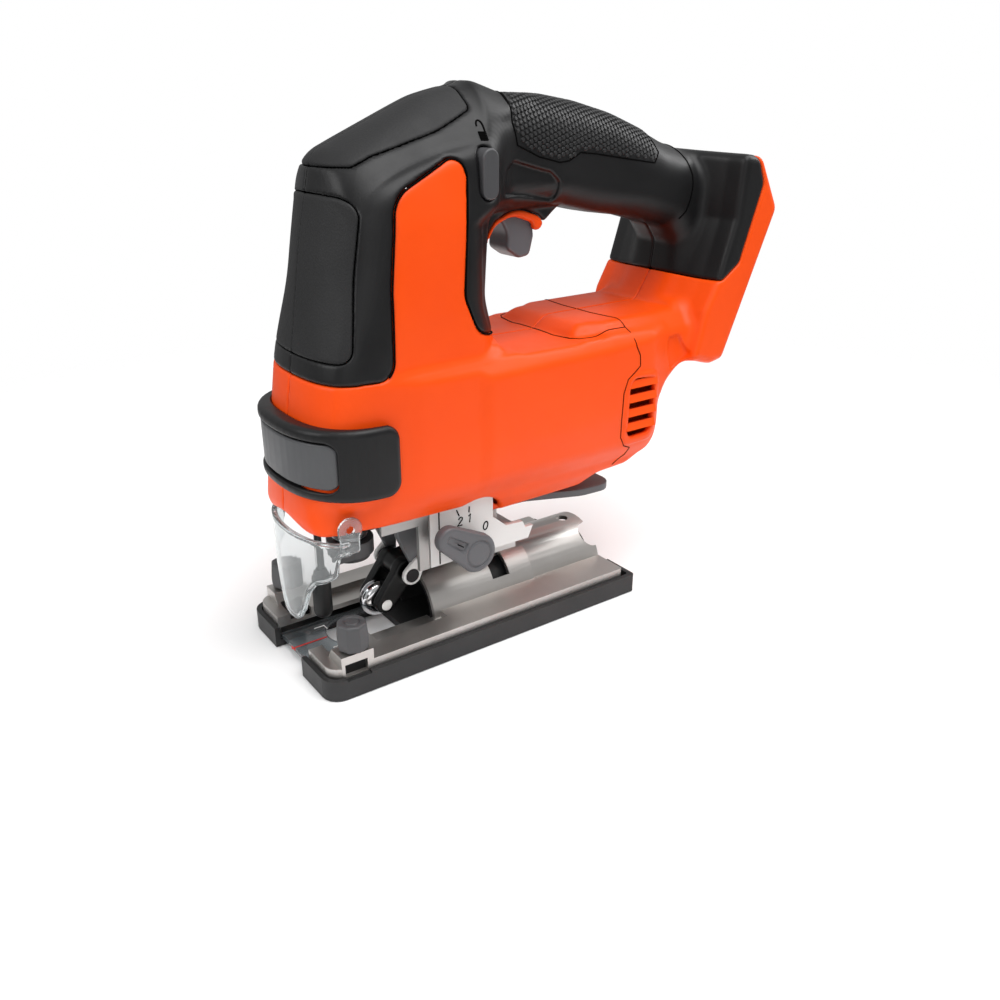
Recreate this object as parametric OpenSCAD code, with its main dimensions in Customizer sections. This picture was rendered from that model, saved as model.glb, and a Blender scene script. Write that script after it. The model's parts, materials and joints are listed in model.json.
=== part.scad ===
// Cordless jigsaw: clamshell body with a closed handle, a scotch-yoke plunger drive,
// a four-step orbital blade support and a bevelling steel shoe in a plastic cover.
// +X points to the rear, +Z up, the blade runs at the -X end; y = 0 is the split of the shells.

/* [Shoe] */
// Length of the shoe cover
shoe_len = 155.6; // [150:0.2:164]
// Width of the shoe cover
shoe_w = 76; // [74:0.5:80]
// Height of the cover's rim above the floor
cover_h = 8.6; // [7.6:0.2:9.2]
// Thickness of the cover's sole
sole_t = 3; // [2.4:0.1:3.4]
// Thickness of the cover's rim
cover_wall = 2.2; // [1.8:0.1:2.4]
// Height of the steel plate's top face above the floor
plate_h = 12.3; // [11.7:0.1:12.6]
// Sheet thickness of the steel plate
plate_t = 2; // [1.5:0.1:2.2]
// Distance from the centre line to the inner edge of a front rail
rail_y = 15; // [14.8:0.1:15.6]
// How far the rails' inner strip is pressed down
rail_dip = 2.8; // [2.2:0.1:3]
// Length of each front rail
rail_len = 61; // [58:0.5:62]
// Radius of the blade gap's round front end
gap_r = 12.6; // [11.6:0.1:13]

/* [Tunnel] */
// Height of the bevel axis above the floor
axis_h = 7.3; // [6.6:0.1:7.6]
// Outer radius of the tunnel that the body tilts on
tunnel_r = 20.1; // [19.5:0.1:20.3]
// Outer radius of the tunnel behind the saddle
tail_r = 19.3; // [18.4:0.1:19.4]
// Length of the tunnel's front stretch
tunnel_len = 53; // [51:0.5:56]
// Width of the slot that the clamp bolt runs in
arc_slot_w = 9; // [8.6:0.1:10]
// Largest tilt of the shoe to either side, in degrees
bevel_max = 45; // [30:1:45]

/* [Body] */
// Wall thickness of the body shells
wall = 2.6; // [2.2:0.1:3]
// Thickness of the soft black skin moulded over the shells
skin = 1.2; // [0.8:0.1:1.4]
// Half width of the barrel
barrel_y = 37; // [36:0.2:37.6]
// Half width of the head
head_y = 33.5; // [32.5:0.2:34]
// Half width of the handle
grip_y = 18; // [17:0.2:20]
// Half width of the battery dock
dock_y = 36.8; // [36:0.2:37.6]
// Lean of the nose, in degrees
nose_lean = 6.5; // [5:0.25:7]
// Depth of the battery recess
dock_depth = 13; // [11:0.5:14]
// Width of the battery recess
dock_w = 58; // [54:1:62]
// Length of a housing screw
screw_len = 20; // [16:1:24]
// Radius of a housing screw's shank
screw_r = 1.5; // [1.3:0.05:1.7]

/* [Drive] */
// Radius of the plunger rod
plunger_r = 4.5; // [4:0.1:5]
// Full stroke of the blade
stroke = 25; // [22:0.5:25.4]
// Gear module
gear_module = 0.8; // [0.75:0.01:0.82]
// Teeth of the drive gear
gear_teeth = 48; // [46:1:50]
// Teeth of the motor pinion
pinion_teeth = 7; // [7:1:8]
// Face width of the drive gear
gear_w = 8; // [7:0.5:8.5]
// Radius of the arbor that the gear turns on
arbor_r = 4; // [3.5:0.1:5]
// Outer radius of the motor's stator
stator_r = 26; // [24:0.5:26.5]
// Length of the stator stack
stator_len = 38; // [34:1:40]
// Radius of the rotor
rotor_r = 12; // [10:0.5:13]
// Radius of the motor shaft
shaft_r = 2.5; // [2:0.1:3]
// Outer radius of the motor bearings
bearing_r = 8; // [7.5:0.1:9]
// Radius of the cooling fan
fan_r = 23; // [21:0.5:23.5]
// Number of fan blades
fan_blades = 11; // [7:1:15]

/* [Blade support] */
// Radius of the guide roller
roller_r = 8; // [7.4:0.1:8.1]
// Width of the guide roller
roller_w = 7; // [6:0.2:7.4]
// Radius of the roller's pin
pin_r = 2; // [1.6:0.1:2.4]
// Radius of the pin that the fork swings on
fork_pin_r = 3; // [2.5:0.1:3.2]
// Half width of the fork
fork_y = 8.2; // [7.8:0.1:8.3]
// Swing of the fork, in degrees
fork_swing = 8; // [5:0.5:9]
// Radius of the blade clamp's collar
clamp_r = 8; // [7.5:0.1:8.4]
// Height of the blade clamp
clamp_len = 13; // [12:0.5:13.5]
// Radius of the finger guard rod
rod_r = 1.5; // [1.2:0.1:1.7]

/* [Controls] */
// Radius of the orbit lever's boss
orbit_r = 9; // [8:0.2:9.6]
// Reach of the orbit lever from its pivot
orbit_reach = 21; // [19:0.5:21.5]
// Turn of the orbit lever over its four positions, in degrees
orbit_turn = 112; // [90:1:114]
// Radius of the clamp bolt
bolt_r = 4; // [3.5:0.1:4.1]
// Length of the bevel lever behind its bolt
lever_len = 60; // [56:1:62]
// Thickness of the bevel lever
lever_t = 3.4; // [3:0.1:3.6]
// Width of the trigger
trigger_w = 14; // [12:0.5:15]
// Height of the lock-off button
button_h = 17.5; // [15:0.5:18.5]
// Width of the lock-off button
button_w = 7; // [6:0.5:8]
// Radius of the guide knobs
knob_r = 6.6; // [6:0.1:6.8]
// Height of the guide knobs
knob_h = 11.5; // [10:0.5:12]

/* [Guard] */
// Wall thickness of the clear guard
guard_t = 1.5; // [1.2:0.1:1.8]
// Reach of the clear guard in front of its ears
guard_reach = 14; // [13.2:0.2:14.6]
// Half width of the clear guard at its ears
guard_y = 28.6; // [28.6:0.1:29]

/* [Fits] */
// Gap between parts that must not touch
gap = 0.3; // [0.2:0.05:0.4]
// Radial running clearance of shafts in their bores
fit = 0.05; // [0.03:0.01:0.1]

/* [Hidden] */
arc_step = 22;
$fn = 48;
big = 400;

// ---- places, from the middle of the shoe, the blade and the motor ----
shoe_front = -shoe_len / 2;
body_rear = 152.6;
rail_back = shoe_front + rail_len;
plate_front = shoe_front + cover_wall + gap;
plate_y = shoe_w / 2 - cover_wall - gap;
plate_back = 72;
latch_x = 64.5;
tunnel_front = rail_back - 3;
tunnel_mid = tunnel_front + tunnel_len;
blade_x = -47;
motor_z = 85;
pitch_gear_r = gear_module * gear_teeth / 2;
pitch_pinion_r = gear_module * pinion_teeth / 2;
gear_z = motor_z + pitch_gear_r + pitch_pinion_r;
crank_r = stroke / 2;
gear_back = -14;
gear_front = gear_back - gear_w;
yoke_back = gear_front - 4;
yoke_t = 7;
body_floor = 62.5;
belly_z = 51.2;
barrel_top = 120.7;
guide_x = -63.5;
guide_y = shoe_w / 2 - knob_r - 0.4;
boss_top = 17;
bolt_x = 16.5;
bracket_floor = 36.4;
bracket_y = 24;
sheet = 2;
orbit_x = -6.5;
orbit_z = 42;
cam_r = 4;
roller_x = -36.2;
roller_z = 16.3;
fork_x = -25.8;
fork_z = 29;
clamp_top = 52.5;
rod_x = -61;
ear_x = -61;
ear_z = 65;
lever_z = 46.6;

// ---- outlines: corners are [across, up, radius] ----
body_side = [
  [-78, body_floor, 0], [8, body_floor - 2, 3], [8, belly_z, 1], [56, belly_z + 1, 4], [63, 57.8, 5],
  [79, 59.2, 8], [88.5, 65.5, 8], [94, 78, 6], [94.5, 92.5, 6], [107, 104.6, 6], [119, 101.2, 5],
  [126.5, 102.6, 3], [body_rear + 1, 166.8, 7], [139, 187, 5], [119, 190.8, 4], [101, 198.2, 30], [82, 205.4, 40],
  [47, 212.2, 40], [24, 214.6, 20], [7, 218.5, 20], [-10, 213, 30], [-40, 200.1, 20], [-53.5, 194, 9],
  [-62, 165, 30], [-78, 80, 0]
];
handle_hole = [
  [15, barrel_top + 0.7, 5], [45, barrel_top + 0.7, 5], [54, 126, 10], [76.5, 127, 8], [81.5, 147, 20], [89.5, 163.6, 5],
  [68, 167.2, 20],
  [50, 171, 6], [14, 171, 5], [10.5, 142, 20]
];
head_front = [
  [26.2, body_floor - 3, 1], [26.8, 71, 2], [32.5, 76, 4], [head_y, 84, 20], [head_y, 140, 30], [head_y - 1.5, 172, 30],
  [head_y - 5, 192, 12], [18, 207, 14], [8, 219, 10]
];
barrel_front = [
  [20, belly_z - 1, 4], [27, 60, 6], [28.4, 64, 3], [barrel_y - 2, 73, 10], [barrel_y, 86, 20],
  [barrel_y - 1, 112, 8], [barrel_y - 3.5, barrel_top, 1.5], [10, barrel_top + 0.7, 4]
];
hump_front = [[27.5, 100, 0], [27.5, barrel_top, 3], [21, 127.2, 4]];
hump_plan = [[44, 1, 0], [34, 14, 6], [36, 30, 0], [108, 30, 0]];
barrel_plan = [
  [-62, 14, 8], [-48, 30, 14], [-30, head_y, 20], [-6, barrel_y, 20], [62, barrel_y, 20], [95.5, 29, 8]
];
dock_plan = [[100, dock_y - 8, 8], [112, dock_y, 6], [150, dock_y, 8], [160, dock_y - 6, 6]];
dock_side = [[116, 200], [170, 200], [170, 90], [99, 90], [99, 128], [113, 140]];
strut_front = [[24, 86, 4], [31, 92, 4], [31, 128, 10], [22, 141, 6]];
front_pad_side = [[-80, 127.2], [-53.8, 127.2], [-47.2, 179.2], [-55, 181.6], [-80, 182]];
top_pad_side = [[-80, 191], [-45, 191], [-38.5, 194], [-12, 201.8], [3.4, 208.4], [1.5, 230], [-80, 230]];
panel_side = [
  [-40.5, 117, 0], [-45.8, 119.5, 3], [-41.1, 126, 6], [-40.2, 150, 0], [-37.8, 175.5, 7], [-14.7, 193, 4],
  [-9.4, 187.5, 5], [-11.5, 145, 10], [-4.8, 131, 8], [11, 126.6, 3], [11, 117, 0]
];
skin_side = [
  [-80, 119.2], [-49, 119.2], [-40, 119.2], [12, 128.5], [40, 150], [84, 150], [104.6, 150], [112.5, 139.8],
  [115.4, 138.5], [129, 146.4], [137.8, 173.8], [170, 176], [170, 230], [-80, 230]
];

// ---- drawing helpers ----
function unit(v) = v / norm(v);
function flat(p) = [p[0], p[1]];
function radius_of(p) = len(p) > 2 ? p[2] : 0;
// An arc of the corner's own radius in place of the corner b between a and c.
function corner(a, b, c) =
  let (u = unit(flat(a) - flat(b)), w = unit(flat(c) - flat(b)), r = radius_of(b), half = acos(u * w) / 2)
  r <= 0 || half > 88 ? [flat(b)] :
  let (
    mid = flat(b) + unit(u + w) * r / sin(half),
    p = flat(b) + u * r / tan(half) - mid,
    q = flat(b) + w * r / tan(half) - mid,
    from = atan2(p[1], p[0]),
    turn = atan2(p[0] * q[1] - p[1] * q[0], p * q),
    steps = max(1, ceil(abs(turn) / arc_step))
  )
  [for (i = [0:steps]) mid + r * [cos(from + turn * i / steps), sin(from + turn * i / steps)]];
function rounded(c) = let (n = len(c)) [for (i = [0:n - 1]) each corner(c[(i + n - 1) % n], c[i], c[(i + 1) % n])];
function area(c) = let (n = len(c)) sum([for (i = [0:n - 1]) c[i][0] * c[(i + 1) % n][1] - c[i][1] * c[(i + 1) % n][0]]);
function sum(v, i = 0) = i == len(v) ? 0 : v[i] + sum(v, i + 1);
// The same corners moved inward by t; a negative t moves them outward.
function inset(c, t) =
  let (n = len(c), way = sign(area(c)))
  [for (i = [0:n - 1])
    let (
      a = flat(c[(i + n - 1) % n]), b = flat(c[i]), d = flat(c[(i + 1) % n]),
      e = unit(b - a), f = unit(d - b),
      m = way * [-e[1], e[0]], k = way * [-f[1], f[0]],
      move = (m + k) * t / (1 + m * k),
      turn = way * (e[0] * f[1] - e[1] * f[0]),
      r = radius_of(c[i])
    )
    [b[0] + move[0], b[1] + move[1], r <= 0 ? 0 : max(0.3, r - sign(turn) * t)]
  ];
// Corners on one side of the centre line, joined to their mirror images.
function both(c) = concat(c, [for (i = [len(c) - 1:-1:0]) [-c[i][0], c[i][1], radius_of(c[i])]]);
function both_y(c) = concat(c, [for (i = [len(c) - 1:-1:0]) [c[i][0], -c[i][1], radius_of(c[i])]]);
function ellipse(cx, a, b, n = 14) = [for (i = [0:n]) let (t = 90 + 180 * i / n) [cx + a * cos(t), b * sin(t)]];

// Prisms of an outline seen from the side, the front and above.
module side_prism(points, y0 = -big / 2, y1 = big / 2)
  translate([0, y1, 0]) rotate([90, 0, 0]) linear_extrude(y1 - y0) polygon(points);
module front_prism(points, x0 = -big / 2, x1 = big / 2)
  translate([x0, 0, 0]) rotate([90, 0, 90]) linear_extrude(x1 - x0) polygon(points);
module plan_prism(points, z0 = 0, z1 = big)
  translate([0, 0, z0]) linear_extrude(z1 - z0) polygon(points);
// A box from its low corner to its high corner.
module block(a, b) translate(a) cube(b - a);
module along_y(x, z, r, y0, y1) translate([x, y1, z]) rotate([90, 0, 0]) cylinder(r = r, h = y1 - y0);
module along_x(y, z, r, x0, x1) translate([x0, y, z]) rotate([0, 90, 0]) cylinder(r = r, h = x1 - x0);
module along_z(x, y, r, z0, z1) translate([x, y, z0]) cylinder(r = r, h = z1 - z0);
module mirrored_y() { children(); mirror([0, 1, 0]) children(); }
module in_frame() translate([-(shoe_front + body_rear) / 2, 0, 0]) children();

// ---- body form ----
nose_mid = -44;
nose_ref = 85;
nose_plan = concat(ellipse(nose_mid, 25.4, head_y + 0.2), [[-2, -head_y], [9, 5 - head_y], [16, -20], [34, -17]],
  [[34, 17], [16, 20], [9, head_y - 5], [-2, head_y]]);
grip_section = [[grip_y, -22, 11], [grip_y, 22, 12], [-grip_y, 22, 12], [-grip_y, -22, 11]];
// The head: an oval prism that leans back, rounded over the top.
module head_form(t) intersection() {
  translate([0, 0, nose_ref]) rotate([0, nose_lean, 0]) translate([0, 0, -nose_ref])
    plan_prism(rounded(inset(nose_plan, t)), -20, 280);
  front_prism(rounded(inset(both(head_front), t)), -90, 36 - t);
}
module barrel_form(t) {
  intersection() {
    front_prism(rounded(inset(both(barrel_front), t)));
    plan_prism(rounded(inset(both_y(barrel_plan), t)));
  }
  intersection() {
    front_prism(rounded(inset(both(hump_front), t)));
    plan_prism(rounded(inset(both_y(hump_plan), t)));
  }
}
module grip_form(t) translate([20, 0, 194]) rotate([0, 12, 0])
  front_prism(rounded(inset(grip_section, t)), -30 + t, 110 - t);
module dock_form(t) intersection() {
  plan_prism(rounded(inset(both_y(dock_plan), t)));
  side_prism(rounded(inset(dock_side, t)));
}
module strut_form(t) front_prism(rounded(inset(both(strut_front), t)), 58 + t, 126 - t);
// The whole outer form of the body, moved inward by t.
module form(t) intersection() {
  difference() {
    side_prism(rounded(inset(body_side, t)));
    side_prism(rounded(inset(handle_hole, -t)));
  }
  union() { head_form(t); barrel_form(t); grip_form(t); dock_form(t); strut_form(t); }
}
// The skirt that hangs round the trigger, solid but for the trigger's slot.
skirt_side = [
  [11, 173.4, 0], [11, 155, 1], [15, 156.8, 1], [16.2, 160.8, 5], [19.4, 166, 6], [27.6, 169.4, 10], [37.2, 166.2, 1.5],
  [38.4, 162.6, 1.5], [41.6, 163.4, 2], [42.9, 165.9, 2], [50.4, 171.9, 3], [50.4, 173.4, 0]
];
collar_side = [
  [14.2, 150, 0], [14.6, 157.5, 0], [16, 163, 5], [19.2, 167.7, 5], [29.5, 172.3, 14], [41, 168.4, 6], [42.8, 165.7, 1],
  [46, 163, 0], [46, 150, 0]
];
module skirt(t) side_prism(rounded(inset(skirt_side, t)), -skirt_y + t, skirt_y - t);
module left_half() block([-big, -big, -big], [big, 0, big]);
module right_half() block([-big, 0, -big], [big, big, big]);
// Where the black skin lies: everything above the colour split but the side panels.
module skin_zone() difference() {
  side_prism(rounded(skin_side));
  side_prism(rounded(panel_side));
  side_prism(rounded(collar_side), -skirt_y - 1, skirt_y + 1);
}
module pad_zones() { side_prism(front_pad_side); side_prism(top_pad_side); }

// ---- openings that shells and skin share ----
trigger_x = [15.5, 43];
pivot = [18.5, 176];
pivot_r = 1.5;
switch_y = 9;
skirt_y = trigger_w / 2 + gap + wall;
button_x = 3;
button_z = 187;
screw_places = [
  [-36, 166], [0, 166], [4.5, 135], [2.6, 73], [64, 116], [89, 100], [107, 114], [120, 176], [98, 180], [56, 190]
];
screw_seat = 9.5;
head_t = 2.5;
screw_head_r = screw_r + 1.3;
module capsule_y(x, z, w, h, y0, y1) {
  block([x - w / 2, y0, z - h / 2 + w / 2], [x + w / 2, y1, z + h / 2 - w / 2]);
  for (s = [-1, 1]) along_y(x, z + s * (h - w) / 2, w / 2, y0, y1);
}
module trigger_slot() block([trigger_x[0], -trigger_w / 2 - gap, 150], [trigger_x[1], trigger_w / 2 + gap, 180]);
module button_slot() capsule_y(button_x, button_z, button_w + 2 * gap, button_h + 2 * gap, -big, big);
module counterbores() for (p = screw_places) along_y(p[0], p[1], screw_head_r + gap, screw_seat, big);
dock_tilt = 22.9;
module at_dock() translate([140.05, 0, 134.7]) rotate([0, dock_tilt, 0]) children();
recess_top = 25;
module dock_recess(grow = 0) at_dock()
  block([-dock_depth - grow, -dock_w / 2 - grow, -60], [30, dock_w / 2 + grow, recess_top + grow]);
vent_x = [67, 88];
vent_z = [72, 101];
vent_rows = 5;
vent_h = 3.4;
module vents() for (i = [0:vent_rows - 1]) {
  z = vent_z[0] + (vent_z[1] - vent_z[0] - vent_h) * i / (vent_rows - 1);
  mirrored_y() block([vent_x[0], 28, z], [vent_x[1], 50, z + vent_h]);
}

// ---- inside of the shells ----
case_x = [-57, -3];
case_back_t = 7;
case_y = 23.8;
case_floor = 66;
case_roof = 146;
case_base = [-46, 7.6];
board_y = 18;
lug_r = 4;
bearing_x = 76.4;
bearing_w = 4.4;
stator_x = 13;
rib_t = 2.4;
case_plan = [[case_x[0], 9], [-46, case_y - 3.5], [-34, case_y], [case_x[1], case_y]];
module case_prism(t, z0, z1) plan_prism(rounded(inset(both_y(case_plan), t)), z0, z1);
module rib(x) intersection() { form(wall / 2); block([x, -big, -big], [x + rib_t, big, big]); }
module ribs() {
  for (x = [stator_x + 4, stator_x + stator_len - 6]) difference() {
    rib(x);
    along_x(0, motor_z, stator_r + fit, x - 1, x + rib_t + 1);
    block([-big, -big, motor_z + 22], [big, big, big]);
  }
  difference() {
    rib(-24);
    case_prism(-fit, -1, case_roof + fit);
    block([-40, -24.3, 0], [0, 24.3, 68]);
    block([-40, -board_y - gap, case_roof], [0, board_y + gap, big]);
    block([-40, -big, case_roof + 6], [0, big, big]);
  }
  difference() {
    intersection() { form(wall / 2); block([bearing_x, -big, -big], [bearing_x + bearing_w, big, big]); }
    along_x(0, motor_z, bearing_r + fit, bearing_x - 1, bearing_x + bearing_w + 1);
    block([-big, -big, motor_z + 16], [big, big, big]);
  }
}
module screw_bosses() intersection() {
  form(wall / 2);
  union() {
    for (p = screw_places) along_y(p[0], p[1], screw_head_r + 1.6, -big, big);
    along_y(pivot[0], pivot[1], pivot_r + 1.9, -big, big);
    mirrored_y() block([24, switch_y, 183], [38, big, 189]);
  }
}
// One shell of the body: way is -1 for the left one and 1 for the right one.
module shell(way) difference() {
  union() {
    difference() {
      union() { form(0); skirt(0); }
      difference() { skin_zone(); form(skin); skirt(skin); }
      form(wall);
    }
    ribs();
    screw_bosses();
  }
  if (way < 0) right_half(); else left_half();
  block([case_x[0] - gap, -bracket_y - gap, 0], [case_base[1] + gap, bracket_y + gap, case_floor + gap]);
  block([rod_x - lug_r - gap, -lug_r - gap, 0], [case_x[0], lug_r + gap, case_floor + gap]);
  trigger_slot();
  button_slot();
  dock_recess();
  vents();
  if (way > 0) counterbores();
  for (p = screw_places) along_y(p[0], p[1], screw_r + fit, screw_seat - screw_len - 1, screw_seat + 1);
  along_y(pivot[0], pivot[1], pivot_r, -12, 12);
  block([trigger_x[0] - 1, -switch_y, 173.6], [trigger_x[1] + 3, switch_y, 190.3]);
}
module housing_left() color("orangered") in_frame() shell(-1);
module housing_right() color("orangered") in_frame() shell(1);
module grip_skin(way) color("dimgray") in_frame() difference() {
  intersection() { union() { form(0); skirt(0); } skin_zone(); }
  form(skin);
  skirt(skin);
  pad_zones();
  if (way < 0) right_half(); else left_half();
  trigger_slot();
  button_slot();
  dock_recess();
  if (way > 0) counterbores();
}
module grip_skin_left() grip_skin(-1);
module grip_skin_right() grip_skin(1);
module pad(points) color("black") in_frame() difference() {
  intersection() { form(0); side_prism(points); }
  form(skin);
}
module head_pad_front() pad(front_pad_side);
module head_pad_top() pad(top_pad_side);

// ---- badge without a name ----
badge_z = [76.5, 105];
badge_side_x = -41;
badge_mid = -46.5;
badge_a = 29.5;
badge_b = 35.4;
plate_z = [80.5, 100.5];
plate_half = 28;
badge_plate_t = 1.2;
module oval_prism(t, z, x1) intersection() {
  plan_prism(ellipse(badge_mid, badge_a - t, badge_b - t, 18), z[0], z[1]);
  block([-big, -big, 0], [x1, big, big]);
}
module plate_zone(t) intersection() {
  oval_prism(t, plate_z, badge_side_x);
  block([-big, -plate_half, 0], [-50, plate_half, big]);
}
module badge_frame() color("#222") in_frame() difference() {
  oval_prism(0, badge_z, badge_side_x);
  form(0);
  difference() { plate_zone(-1); oval_prism(badge_plate_t + 0.4, plate_z, 0); }
}
module badge_plate() color("gray") in_frame() difference() {
  plate_zone(0.4);
  oval_prism(badge_plate_t + 0.4, [0, big], 0);
}

// ---- battery dock ----
liner_t = 2.4;
rail_y0 = dock_w / 2 - 5;
terminal_w = 30;
tray_len = 35;
module battery_dock() color("#222") in_frame() at_dock() {
  difference() {
    block([-dock_depth - liner_t, -dock_w / 2, -tray_len], [-1, dock_w / 2, recess_top]);
    block([-dock_depth, -dock_w / 2 + liner_t, -60], [30, dock_w / 2 - liner_t, recess_top - liner_t]);
  }
  mirrored_y() block([-4.6, rail_y0, 2 - tray_len], [-2.2, dock_w / 2 - liner_t, recess_top - liner_t]);
}
module terminal_block() color("#333") in_frame() at_dock() {
  difference() {
    block([-dock_depth, -terminal_w / 2, -4], [-dock_depth + 9, terminal_w / 2, recess_top - liner_t]);
    for (i = [-2:2]) block([-dock_depth + 2, i * 5.6 - 0.6, -5], [-dock_depth + 10, i * 5.6 + 0.6, 15]);
  }
}
module terminal_blades() color("goldenrod") in_frame() at_dock()
  for (i = [-2:2]) block([-dock_depth + 2, i * 5.6 - 0.4, -3], [-dock_depth + 8, i * 5.6 + 0.4, 15]);
module housing_screws() color("silver") in_frame() for (p = screw_places) {
  along_y(p[0], p[1], screw_r, screw_seat - screw_len, screw_seat);
  difference() {
    along_y(p[0], p[1], screw_head_r, screw_seat, screw_seat + head_t);
    translate([p[0], screw_seat + head_t + 1, p[1]]) rotate([90, 0, 0]) cylinder(r = 1.4, h = 2.2, $fn = 6);
  }
}

// ---- gear case ----
bush_wall = 3.2;
clamp_rise = clamp_top + crank_r + gap;
bush_low = [clamp_rise, 77];
bush_high = [134, 145];
module gearcase() color("silver") in_frame() difference() {
  union() {
    difference() {
      case_prism(0, case_floor - 3, case_roof);
      intersection() {
        case_prism(2.6, case_floor + 3, case_roof - 5);
        block([-big, -big, 0], [case_x[1] - case_back_t, big, big]);
      }
      block([-big, -13, case_floor + 8], [-44, 13, case_roof - 8]);
    }
    block([case_base[0], -bracket_y + sheet, body_floor - 2], [case_base[1], bracket_y - sheet, case_floor]);
    mirrored_y() difference() {
      block([-56, bracket_y - sheet, body_floor - 6], [-24, bracket_y, case_floor]);
      block([-60, 0, 0], [-45, big, body_floor + 0.3]);
    }
    mirrored_y() block([-28.5, bracket_y - sheet, bracket_floor], [-24, bracket_y, case_floor]);
    along_z(blade_x, 0, plunger_r + bush_wall + 3, case_floor - 3, bush_low[1] + 2);
    along_z(rod_x, 0, lug_r, case_floor - 3, case_floor);
    block([rod_x, -lug_r, case_floor - 3], [case_x[0] + 1, lug_r, case_floor]);
    along_z(blade_x, 0, plunger_r + bush_wall + 3, bush_high[0], case_roof);
  }
  along_z(blade_x, 0, plunger_r + bush_wall, 0, bush_low[1]);
  along_z(blade_x, 0, clamp_r + gap, 0, clamp_rise);
  along_z(blade_x, 0, plunger_r + 1, 0, 200);
  along_z(blade_x, 0, plunger_r + bush_wall, bush_high[0] - 1, bush_high[1]);
  along_x(0, motor_z, bearing_r, case_x[1] - 5, 10);
  along_x(0, motor_z, shaft_r + 2, -30, 10);
  along_x(0, gear_z, arbor_r, -30, 10);
  along_z(rod_x, 0, rod_r, 0, case_floor - 1);
}
module gearcase_cover() color("gray") in_frame() difference() {
  along_x(0, gear_z, 9, case_x[1] + 0.01, case_x[1] + 3);
  along_x(0, gear_z, arbor_r, -30, case_x[1] + 1.6);
}
module gearcase_screws() color("silver") in_frame() for (y = [-19, 19])
  along_z(4, y, 2, case_floor, case_floor + 2);
module bush(z) difference() {
  along_z(blade_x, 0, plunger_r + bush_wall, z[0], z[1]);
  along_z(blade_x, 0, plunger_r + fit, z[0] - 1, z[1] + 1);
}
module plunger_bush_lower() color("peru") in_frame() bush(bush_low);
module plunger_bush_upper() color("peru") in_frame() bush([bush_high[0], bush_high[1]]);
// The rod with its yoke; the yoke's slot is where the crank roller would run.
yoke_y = crank_r + 8;
module plunger() color("lightgray") in_frame() {
  along_z(blade_x, 0, plunger_r, clamp_top, bush_high[1] + crank_r + 3);
  difference() {
    union() {
      block([yoke_back - yoke_t, -yoke_y, gear_z - 7.5], [yoke_back, yoke_y, gear_z + 7.5]);
      block([blade_x + 1, -5, gear_z - 7], [yoke_back - yoke_t, 5, gear_z + 7]);
    }
    block([yoke_back - 4.5, -yoke_y + 3, gear_z - 4.2], [yoke_back + 1, yoke_y - 3, gear_z + 4.2]);
  }
}
// Outline of a gear with straight-flanked teeth.
function gear_points(teeth, r, depth, share = 0.42) =
  [for (i = [0:teeth - 1]) for (k = [[-share, -depth], [-share * 0.5, depth * 0.55], [share * 0.5, depth * 0.55],
    [share, -depth]]) let (a = 360 / teeth * (i + k[0] * 0.8)) [(r + k[1]) * cos(a), (r + k[1]) * sin(a)]];
module gear_x(teeth, r, x0, x1, turn = 0) translate([x0, 0, 0]) rotate([0, 90, 0]) rotate([0, 0, turn])
  linear_extrude(x1 - x0) polygon(gear_points(teeth, r, gear_module * 0.7));
module drive_gear() color("darkgray") in_frame() difference() {
  union() {
    translate([0, 0, gear_z]) gear_x(gear_teeth, pitch_gear_r, gear_front, gear_back);
    along_x(crank_r, gear_z, 2.4, gear_front - 3.4, gear_front);
  }
  along_x(0, gear_z, arbor_r + fit, gear_front - 1, gear_back + 1);
}
module gear_arbor() color("lightgray") in_frame() along_x(0, gear_z, arbor_r, gear_front, case_x[1] + 1.6);
module crank_roller() color("silver") in_frame() difference() {
  along_x(crank_r, gear_z, 4, gear_front - 3.4, gear_front - 0.3);
  along_x(crank_r, gear_z, 2.4 + fit, gear_front - 4, gear_front);
}
module counterweight() color("gray") in_frame() difference() {
  along_x(0, gear_z, pitch_gear_r - 1.5, gear_front - 3, gear_front);
  block([-big, -5, 0], [big, big, big]);
  along_x(0, gear_z, arbor_r + fit, gear_front - 4, gear_front + 1);
}

// ---- motor ----
module motor_stator() color("dimgray") in_frame() difference() {
  along_x(0, motor_z, stator_r, stator_x, stator_x + stator_len);
  along_x(0, motor_z, rotor_r + 0.4, stator_x - 1, stator_x + stator_len + 1);
}
module ring_x(r0, r1, x0, x1) difference() {
  along_x(0, motor_z, r1, x0, x1);
  along_x(0, motor_z, r0, x0 - 1, x1 + 1);
}
winding_t = 4;
module motor_windings() color("chocolate") in_frame() {
  ring_x(rotor_r + 2, stator_r - 4, stator_x - winding_t, stator_x);
  ring_x(rotor_r + 2, stator_r - 4, stator_x + stator_len, stator_x + stator_len + winding_t);
}
fan_gap = 6.9;
fan_len = 10;
fan_x = [bearing_x - fan_gap - fan_len, bearing_x - fan_gap];
module motor_rotor() color("silver") in_frame() {
  along_x(0, motor_z, rotor_r, stator_x, stator_x + stator_len);
  along_x(0, motor_z, shaft_r, gear_back + 2, stator_x);
  along_x(0, motor_z, shaft_r, stator_x + stator_len, bearing_x + bearing_w);
}
module motor_pinion() color("gray") in_frame() translate([0, 0, motor_z])
  gear_x(pinion_teeth, pitch_pinion_r, gear_front, gear_back + 2, 180 + 180 / pinion_teeth);
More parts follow.
